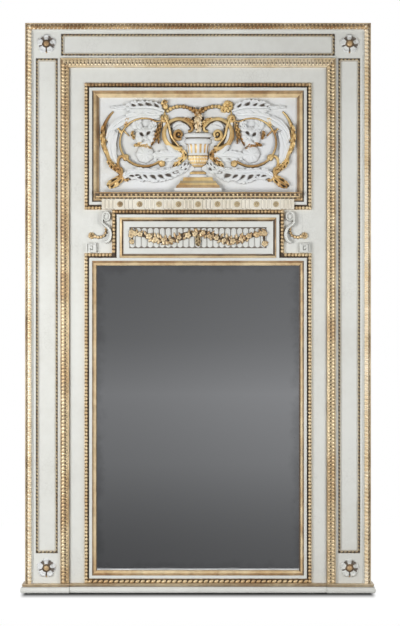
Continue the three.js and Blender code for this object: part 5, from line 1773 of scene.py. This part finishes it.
class TRUMEAU_OT_garland(bpy.types.Operator):
    """Carve the reeded panel and strew the garland's leaves and flowers along its swag"""

    bl_idname = "trumeau.garland"
    bl_label = "Garland"

    def execute(self, context):
        panel = extent("garland_panel")
        low, top = panel.low + GARLAND_BORDER, panel.top - GARLAND_BORDER
        self.carve_board(panel, low, top, context.scene.trumeau_carving.reeds)
        self.strew_garland((low + top) / 2)
        return {"FINISHED"}

    def carve_board(self, panel, low, top, reeds):
        left, right = panel.left + GARLAND_BORDER, panel.right - GARLAND_BORDER
        pitch = (right - left) / reeds
        middle = (low + top) / 2
        reach = (top - low) / 2 - 1
        rounding = pitch * 0.46

        def reeded(x, y):
            aside = np.abs((x - left) / pitch % 1.0 - 0.5) * 2
            past = np.maximum(np.abs(y - middle) - (reach - rounding), 0) / rounding
            lobe = np.sqrt((aside / 0.92) ** 2 + past**2)
            inside = (x > left) & (x < right) & (y > low) & (y < top)
            reed = np.sqrt(np.clip(1 - lobe**2, 0, 1))
            flute = 0.55 * hump(lobe, 0.0, 0.5)
            out = np.where(inside, panel.front - 3.2 + 2.9 * reed - flute, panel.front)
            # The reeds' ends and edges and the panel's upper part are painted darker, as shade.
            beyond = ease(0.96, 1.1, lobe) * ease(reach - 8, reach - 3, np.abs(y - middle))
            shade = 0.2 * ease(-0.2, 0.8, (y - middle) / reach)
            edge = 0.9 * beyond + 0.75 * hump(lobe, 0.97, 0.1) + 0.15 * hump(lobe, 0.4, 0.12) + shade
            return out, np.where(inside, np.clip(edge, 0, 1), 0)

        shape = Shape()
        plate(shape, panel.left, panel.right, panel.low, panel.top, 700, 70, panel.back, reeded)
        dress("garland_board", shape, ("moulding_paint",), "garland_panel")

    def strew_garland(self, middle):
        place = extent("garland")
        end = place.right - 8
        level = place.back
        drop = (place.top - place.low) / 2

        def swag(x):
            return middle + 3 + drop * 0.54 * math.cos(2 * math.pi * abs(x) / end)

        def swag_line(lift, first=-1.0, last=1.0, out=0.0):
            return [(x, swag(x) + lift, level + out) for x in np.linspace(first * end, last * end, 60)]

        def strew(name, unit, runs, pitch, finish, spin, stray, seed, spread=0.2):
            choices = {"Smallest": 1.0 - spread, "Largest": 1.0 + spread, "Seed": seed}
            name = "garland_" + name
            carve_row(name, unit, runs, pitch, finish, Spin=spin, Stray=stray, **choices)

        tails = []
        bunches = []
        for s in (-1, 1):
            tails.append([(s * end, swag(end) - 4, level), (s * (end + 1), place.low + 9, level)])
            out = level + 4
            bunches.append([(s * end, swag(end) + 2, out), (s * (end - 30), swag(end) - 6, out)])
        core = Shape()
        line = [(x, swag(x)) for x in np.linspace(-end, end, 33)]
        stem(core, line, [9, 8, 12, 10, 14, 9, 14, 10, 12, 8, 9], 160, 0.1, sides=7)
        for tail in tails:
            stem(core, [point[:2] for point in tail], [4, 5, 3], 12, 0.3, sides=7)
        core.moved((1, 1, 0.25), (0, 0, level))
        # The core is painted dark all over, as the shade between the leaves.
        dress("garland_core", shadowed(core), ("toned_and_shaded_gilding",), "garland")

        leaf = tongue_unit(21, 10, 7.0, shift=4, point=1, sharp=1.2)
        leaf = joined(leaf, tongue_unit(13, 8, 5.5, shift=0, point=-1, sharp=1.2))
        leaf = unit_object("garland_leaf", leaf)
        rose = unit_object("garland_rose", self.rose())
        berry = unit_object("garland_berry", dome_unit(6.5, 6.5, 5.5, sides=8, rings=4))
        lines = [swag_line(-7), swag_line(7), *tails]
        strew("leaves", leaf, lines, 19, "toned_and_shaded_gilding", 1.1, 0.004, 4)
        thick = [swag_line(-14, -0.75, -0.3), swag_line(-14, 0.3, 0.75)]
        thick += [swag_line(11, -0.66, -0.36), swag_line(11, 0.36, 0.66), swag_line(-11, -0.2, 0.2)]
        strew("outer_leaves", leaf, thick, 19, "bright_gilding", 1.0, 0.004, 5)
        strew("roses", rose, [swag_line(0, out=3), *tails], 31, "bright_gilding", 3.0, 0.005, 9)
        strew("bunches", rose, bunches, 15, "bright_gilding", 3.0, 0.003, 3, spread=0.0)
        lines = [swag_line(-14, -0.7, -0.4), swag_line(-14, 0.4, 0.7), swag_line(13, -0.12, 0.12)]
        strew("berries", berry, lines, 9, "toned_and_shaded_gilding", 3.0, 0.004, 12)
        drop_units(leaf, rose, berry)
        pendant = Shape()
        line = [[0, swag(0) - 4], [0, middle - 6], [0, middle - 32]]
        acanthus(pendant, line, 11, 11, 9, 3, eyes=1.0, seed=41)
        dress("garland_pendant", pendant.moved(shift=(0, 0, level)), ("worn_bronze",))

    def rose(self):
        def petals(a):
            return np.abs(np.cos(2.5 * a))

        def height(r, a):
            cup = np.sin(math.pi * np.clip(r + 0.15, 0, 1)) * (0.6 + 0.4 * petals(a))
            return 7.5 * (0.5 + 0.5 * cup)

        # The heart's ring, the rim and the gaps between petals are painted dark, as shade.
        def dark(r, a):
            gaps = 0.5 * hump(np.cos(5 * a), -1, 0.4) * r
            return np.clip(0.9 * hump(r, 0.3, 0.09) + 0.8 * ease(0.8, 1, r) + gaps, 0, 1)

        shape = Shape()
        boss(shape, 0, 0, lambda a: 11.5 * (0.84 + 0.16 * petals(a)), height, 6, 25, hollow=dark)
        return shape


# A bracket is drawn as its left one, outwards from its block's edge and up from its foot.
BRACKET_HEIGHT = 168.0
BRACKET_EYE = (84, 144)
BRACKET_SCROLL = [
    *[[80, 40], [94, 48], [100, 64], [100, 82], [93, 97], [80, 108], [69, 118]],
    *arc(*BRACKET_EYE, 17, 20, 205, -250, 0.6, 12),
]
BRACKET_WIDTHS = (11, 14, 14, 12, 10, 9, 9, 8, 8, 7, 5)
HUSK_CHAIN = [[80, 104], [83, 92], [81, 79], [74, 68], [62, 62], [50, 61], [40, 64], [26, 68]]

# The key pattern on a bracket's block: its side, and its sunk lines as shares of that side.
KEY_SIDE = 38.0
KEY_LINES = (
    (0.1, 0.15, 0.08, 0.9),
    (0.1, 0.9, 0.85, 0.9),
    (0.36, 0.68, 0.64, 0.7),
    (0.63, 0.68, 0.26, 0.7),
    (0.36, 0.68, 0.26, 0.31),
    (0.36, 0.41, 0.26, 0.46),
)


class TRUMEAU_OT_brackets(bpy.types.Operator):
    """Carve the scroll brackets and their husks"""

    bl_idname = "trumeau.brackets"
    bl_label = "Brackets"

    def execute(self, context):
        for side in BOTH:
            place = extent(f"{side}_bracket")
            scale = (1, (place.top - place.low) / BRACKET_HEIGHT, 1)
            shift = (extent("left_bracket").left - 6.0, place.low, place.back)
            scroll = self.scroll(place.front - place.back).moved(scale, shift)
            husks = self.husks().moved((1, 1, 0.8)).moved(scale, shift)
            if side == "right":
                scroll, husks = scroll.mirrored(), husks.mirrored()
            name = f"{side}_bracket"
            dress(name + "_scroll", scroll, ("moulding_paint",), name)
            dress(name + "_husks", husks, ("bright_gilding",), name + "_husk")
        return {"FINISHED"}

    def scroll(self, rise):
        def section(t):
            u = np.linspace(1, -1, 9)[None]
            edge = hump(np.abs(u), 1, 0.12)
            out = rise * (1 - 0.17 * hump(u, 0, 0.55) - 0.12 * edge)
            # The scroll's edges and its middle are painted darker, as shade.
            hollow = 0.75 * edge + 0.12 * hump(u, 0, 0.3) + 0 * t
            return between(BRACKET_WIDTHS, t) / 2 * u, 0 * u, out, hollow

        def key(x, y):
            lines = np.zeros(np.broadcast_shapes(x.shape, y.shape), bool)
            for x0, x1, y0, y1 in KEY_LINES:
                across = (x / KEY_SIDE > x0) & (x / KEY_SIDE < x1)
                lines |= across & (y / KEY_SIDE > y0) & (y / KEY_SIDE < y1)
            # The key's sunk lines are painted dark, as shade.
            return np.where(lines, rise - 8, rise - 3), np.where(lines, 0.55, 0.0)

        shape = Shape()
        along_line(shape, BRACKET_SCROLL, 120, section)
        block = Shape()
        plate(block, 0, KEY_SIDE, 0, KEY_SIDE, 38, 38, 0, key)
        eye = Shape()
        boss(eye, *BRACKET_EYE, lambda a: 17, lambda r, a: rise * (0.72 - 0.1 * r**2), 5, 30)
        return joined(shape, block.moved(shift=(6, 0, 0)), eye)

    def husks(self):
        shape = Shape()
        stem(shape, HUSK_CHAIN, [2.5, 3, 3, 3, 3, 4], 36, 1.0)
        for i, (x, y) in enumerate(smooth_line(HUSK_CHAIN, 7)[0][:-1]):
            bud(shape, x, y, 5.0 + i * 0.45, 13)
        flower(shape, 25, 68, 14, 5, 50)
        return shape


PLINTH_BULGE = 10.0
PLINTH_CAP = 12.0


class TRUMEAU_OT_plinth(bpy.types.Operator):
    """Run the plinth's moulding round its blocks"""

    bl_idname = "trumeau.plinth"
    bl_label = "Plinth"

    def execute(self, context):
        angle = np.radians(np.linspace(-80, 80, 11))
        bulge = PLINTH_BULGE * (0.2 + 0.8 * np.cos(angle))
        for node in ("left_plinth_block", "plinth_middle", "right_plinth_block"):
            place = extent(node)
            front = place.front - PLINTH_BULGE
            high = place.top
            torus = high - PLINTH_CAP
            rises = torus / 2 * (1 + 0.98 * np.sin(angle))
            # Each point's last number is its dirt-and-shade mark: the foot and the crease over the torus are
            # painted dark, as shade.
            points = [(-2, 0, 0, 0.6), *[(out, up, 0, 0.0) for out, up in zip(bulge, rises)]]
            points += [(0.5, torus + 0.4, 0, 0.7), (0.2, torus + 1.5, 1, 0.6), (0.8, torus + 3, 1, 0.2)]
            points += [(1.2, high - 6, 1, 0.0), (2.6, high - 5, 1, 0.3), (3.4, high - 2.5, 1, 0.1)]
            points += [(2.6, high - 0.4, 1, 0.1), (1.8, high, 1, 0.1)]
            rings = []
            for out, y, _, _ in points:
                x0 = place.left + (PLINTH_BULGE - out if node.startswith("left") else 0)
                x1 = place.right - (PLINTH_BULGE - out if node.startswith("right") else 0)
                rings.append([(x0, y, front + out), (x1, y, front + out), (x1, y, 0), (x0, y, 0)])
            points = np.array(points)
            shape = Shape()
            shape.skin(rings, points[:, 3:], points[:-1, 2:3].astype(int))
            name = node.replace("plinth", "plinth_moulding")
            dress(name, shape, ("moulding_paint", "worn_and_shaded_edge"), node)
        return {"FINISHED"}


# ---- stage ----

# Two corners of the floor and of the studio card behind the camera, and the card's levels of light.
FLOOR = ((-2.6, -0.62, 0), (2.6, 2.2, 0))
CARD = ((-34, -8.8, -12), (34, -8.8, 18))
CARD_LEVELS = ((0.0, 0.075), (0.3, 0.15), (0.62, 0.19), (0.85, 0.13), (1.0, 0.11))
WHITE = (1.0, 1.0, 1.0, 1.0)
LAMP_SIZE = 1.3
LAMP_HEIGHT = 1.2
CAMERA_ACROSS = 0.008
CAMERA_HEIGHT = 1.119


def grey(level):
    return (level, level, level, 1.0)


def studio_plane(name, corners, material):
    """A flat sheet of the stage between two corners."""
    (x0, y0, z0), (x1, y1, z1) = corners
    mesh = bpy.data.meshes.new(name)
    mesh.from_pydata([(x0, y0, z0), (x1, y0, z0), (x1, y1, z1), (x0, y1, z1)], [], [(0, 1, 2, 3)])
    mesh.materials.append(material)
    plane = in_scene(bpy.data.objects.new(name, mesh))
    return plane


def lamp(name, place, aim, power):
    """A soft square lamp that points at a place."""
    data = bpy.data.lights.new(name, "AREA")
    data.shape = "RECTANGLE"
    data.size = LAMP_SIZE
    data.size_y = LAMP_SIZE
    data.energy = power
    made = in_scene(bpy.data.objects.new(name, data))
    made.location = place
    away = np.array(place) - np.array(aim)
    tilt = math.atan2(math.hypot(away[0], away[1]), away[2])
    made.rotation_euler = (tilt, 0.0, math.atan2(away[0], -away[1]))
    made.visible_camera = False


def seen_rays(graph):
    """1 for a ray that the camera sees, straight or by a mirror or glass, and 0 for one that lights."""
    rays = graph.add("ShaderNodeLightPath")
    seen = graph.math("MAXIMUM", rays["Is Camera Ray"], rays["Is Glossy Ray"])
    return graph.math("MAXIMUM", seen, rays["Is Transmission Ray"])


def floor_material(shadow_reach):
    """White as the camera sees it but for a soft painted shadow round the mirror's foot, and matt for light.
    """
    material = bpy.data.materials.new("pale_floor")
    graph = cleared_graph(material)
    matt = graph.first("ShaderNodeBsdfDiffuse", {"Color": grey(0.6)})
    # The painted shadow: near the foot, seen rays get a near-black floor and no glow, fading to white.
    dim = graph.first("ShaderNodeBsdfDiffuse", {"Color": grey(0.03)})
    foot = (frame_box[1].x - 25 * MM, frame_box[1].y, 0.0)
    far = graph.vector("ABSOLUTE", graph.add("ShaderNodeTexCoord")["Object"])
    far = graph.vector("MAXIMUM", graph.vector("SUBTRACT", far, foot))
    far = graph.vector("MULTIPLY", far, (5, 1, 1))
    far = graph.add("ShaderNodeVectorMath", {0: far}, operation="LENGTH")["Value"]
    level = graph.band(far, 0.0, shadow_reach)
    glow = graph.first("ShaderNodeEmission", {"Color": WHITE, "Strength": level})
    lit = graph.first("ShaderNodeAddShader", {0: dim, 1: glow})
    both = graph.first("ShaderNodeMixShader", {0: seen_rays(graph), 1: matt, 2: lit})
    graph.add("ShaderNodeOutputMaterial", {"Surface": both})
    return material


def card_material():
    """The soft gradient of the studio that the mirror plate reflects: a glowing card, seen only in
    reflections, that paints a reflection with darker greys below and lighter ones to one side.
    """
    material = bpy.data.materials.new("studio_dark")
    graph = cleared_graph(material)
    parts = graph.add("ShaderNodeSeparateXYZ", {0: graph.add("ShaderNodeTexCoord")["Object"]})
    rows = graph.first("ShaderNodeValToRGB", {0: graph.band(parts["Z"], -1.3, 1.6)})
    ramp = rows.node.color_ramp
    while len(ramp.elements) < len(CARD_LEVELS):
        ramp.elements.new(0.5)
    for element, (at, level) in zip(ramp.elements, CARD_LEVELS):
        element.position = at
        element.color = (level, level, level * 1.015, 1.0)
    aside = graph.band(parts["X"], -1.2, 1.2, 0.86, 1.14)
    shade = graph.first("ShaderNodeVectorMath", {0: rows, "Scale": aside}, operation="SCALE")
    glow = graph.first("ShaderNodeEmission", {"Color": shade, "Strength": 1.36})
    graph.add("ShaderNodeOutputMaterial", {"Surface": glow})
    return material


class TRUMEAU_OT_stage(bpy.types.Operator):
    """Set the floor, the lamps, the world and the camera"""

    bl_idname = "trumeau.stage"
    bl_label = "Stage"

    def execute(self, context):
        scene = context.scene
        settings = scene.trumeau_stage
        face = WALL - 65 * MM

        studio_plane("floor", FLOOR, floor_material(settings.shadow_reach))
        # The card glows only for reflections: a painted reflection.
        card = studio_plane("studio_card", CARD, card_material())
        card.visible_camera = False
        card.visible_diffuse = False
        card.visible_shadow = False

        scene.world = bpy.data.worlds.new("studio")
        graph = cleared_graph(scene.world)
        level = graph.band(seen_rays(graph), 0.0, 1.0, settings.ambient, 1.0)
        sky = graph.first("ShaderNodeBackground", {"Color": WHITE, "Strength": level})
        graph.add("ShaderNodeOutputWorld", {"Surface": sky})

        aim = (0.0, face, LAMP_HEIGHT)
        lamp("key_lamp", (-1.65, -2.2, LAMP_HEIGHT), aim, settings.key_power)
        lamp("fill_lamp", (1.85, -2.35, LAMP_HEIGHT), aim, settings.fill_power)

        data = bpy.data.cameras.new("camera")
        data.lens = settings.lens
        camera = in_scene(bpy.data.objects.new("camera", data))
        camera.location = (CAMERA_ACROSS, face - settings.distance, CAMERA_HEIGHT)
        camera.rotation_euler = (math.pi / 2, 0.0, 0.0)
        scene.camera = camera
        scene.view_settings.view_transform = "Standard"
        return {"FINISHED"}


# ---- add-on ----

SETTINGS = {
    "mouldings": TrumeauMouldings,
    "carving": TrumeauCarving,
    "finishes": TrumeauFinishes,
    "stage": TrumeauStage,
}

STEPS = (
    TRUMEAU_OT_boards,
    TRUMEAU_OT_plates,
    TRUMEAU_OT_outer_mouldings,
    TRUMEAU_OT_leaf_mouldings,
    TRUMEAU_OT_thin_frames,
    TRUMEAU_OT_framings,
    TRUMEAU_OT_shelf,
    TRUMEAU_OT_horns,
    TRUMEAU_OT_leaf_scrolls,
    TRUMEAU_OT_urn,
    TRUMEAU_OT_corner_rosettes,
    TRUMEAU_OT_garland,
    TRUMEAU_OT_brackets,
    TRUMEAU_OT_plinth,
    TRUMEAU_OT_stage,
)


class TRUMEAU_PT_panel(bpy.types.Panel):
    """Lists the steps that build the mirror, and their settings"""

    bl_label = "Trumeau mirror"
    bl_idname = "TRUMEAU_PT_panel"
    bl_space_type = "VIEW_3D"
    bl_region_type = "UI"
    bl_category = "Trumeau"

    def draw(self, context):
        for step in STEPS:
            self.layout.operator(step.bl_idname)
        for settings in (f"trumeau_{name}" for name in SETTINGS):
            group_settings = getattr(context.scene, settings)
            box = self.layout.box()
            for item in group_settings.bl_rna.properties:
                if item.identifier not in ("rna_type", "name"):
                    box.prop(group_settings, item.identifier)


def register():
    for made in (*SETTINGS.values(), *STEPS, TRUMEAU_PT_panel):
        bpy.utils.register_class(made)
    for name, settings in SETTINGS.items():
        setattr(bpy.types.Scene, f"trumeau_{name}", bpy.props.PointerProperty(type=settings))


def unregister():
    for name in SETTINGS:
        delattr(bpy.types.Scene, f"trumeau_{name}")
    for made in (TRUMEAU_PT_panel, *reversed(STEPS), *SETTINGS.values()):
        bpy.utils.unregister_class(made)


def main():
    """Registers the classes and runs the steps in order."""
    register()
    for step in STEPS:
        section, name = step.bl_idname.split(".")
        getattr(getattr(bpy.ops, section), name)()


if __name__ == "__main__":
    main()
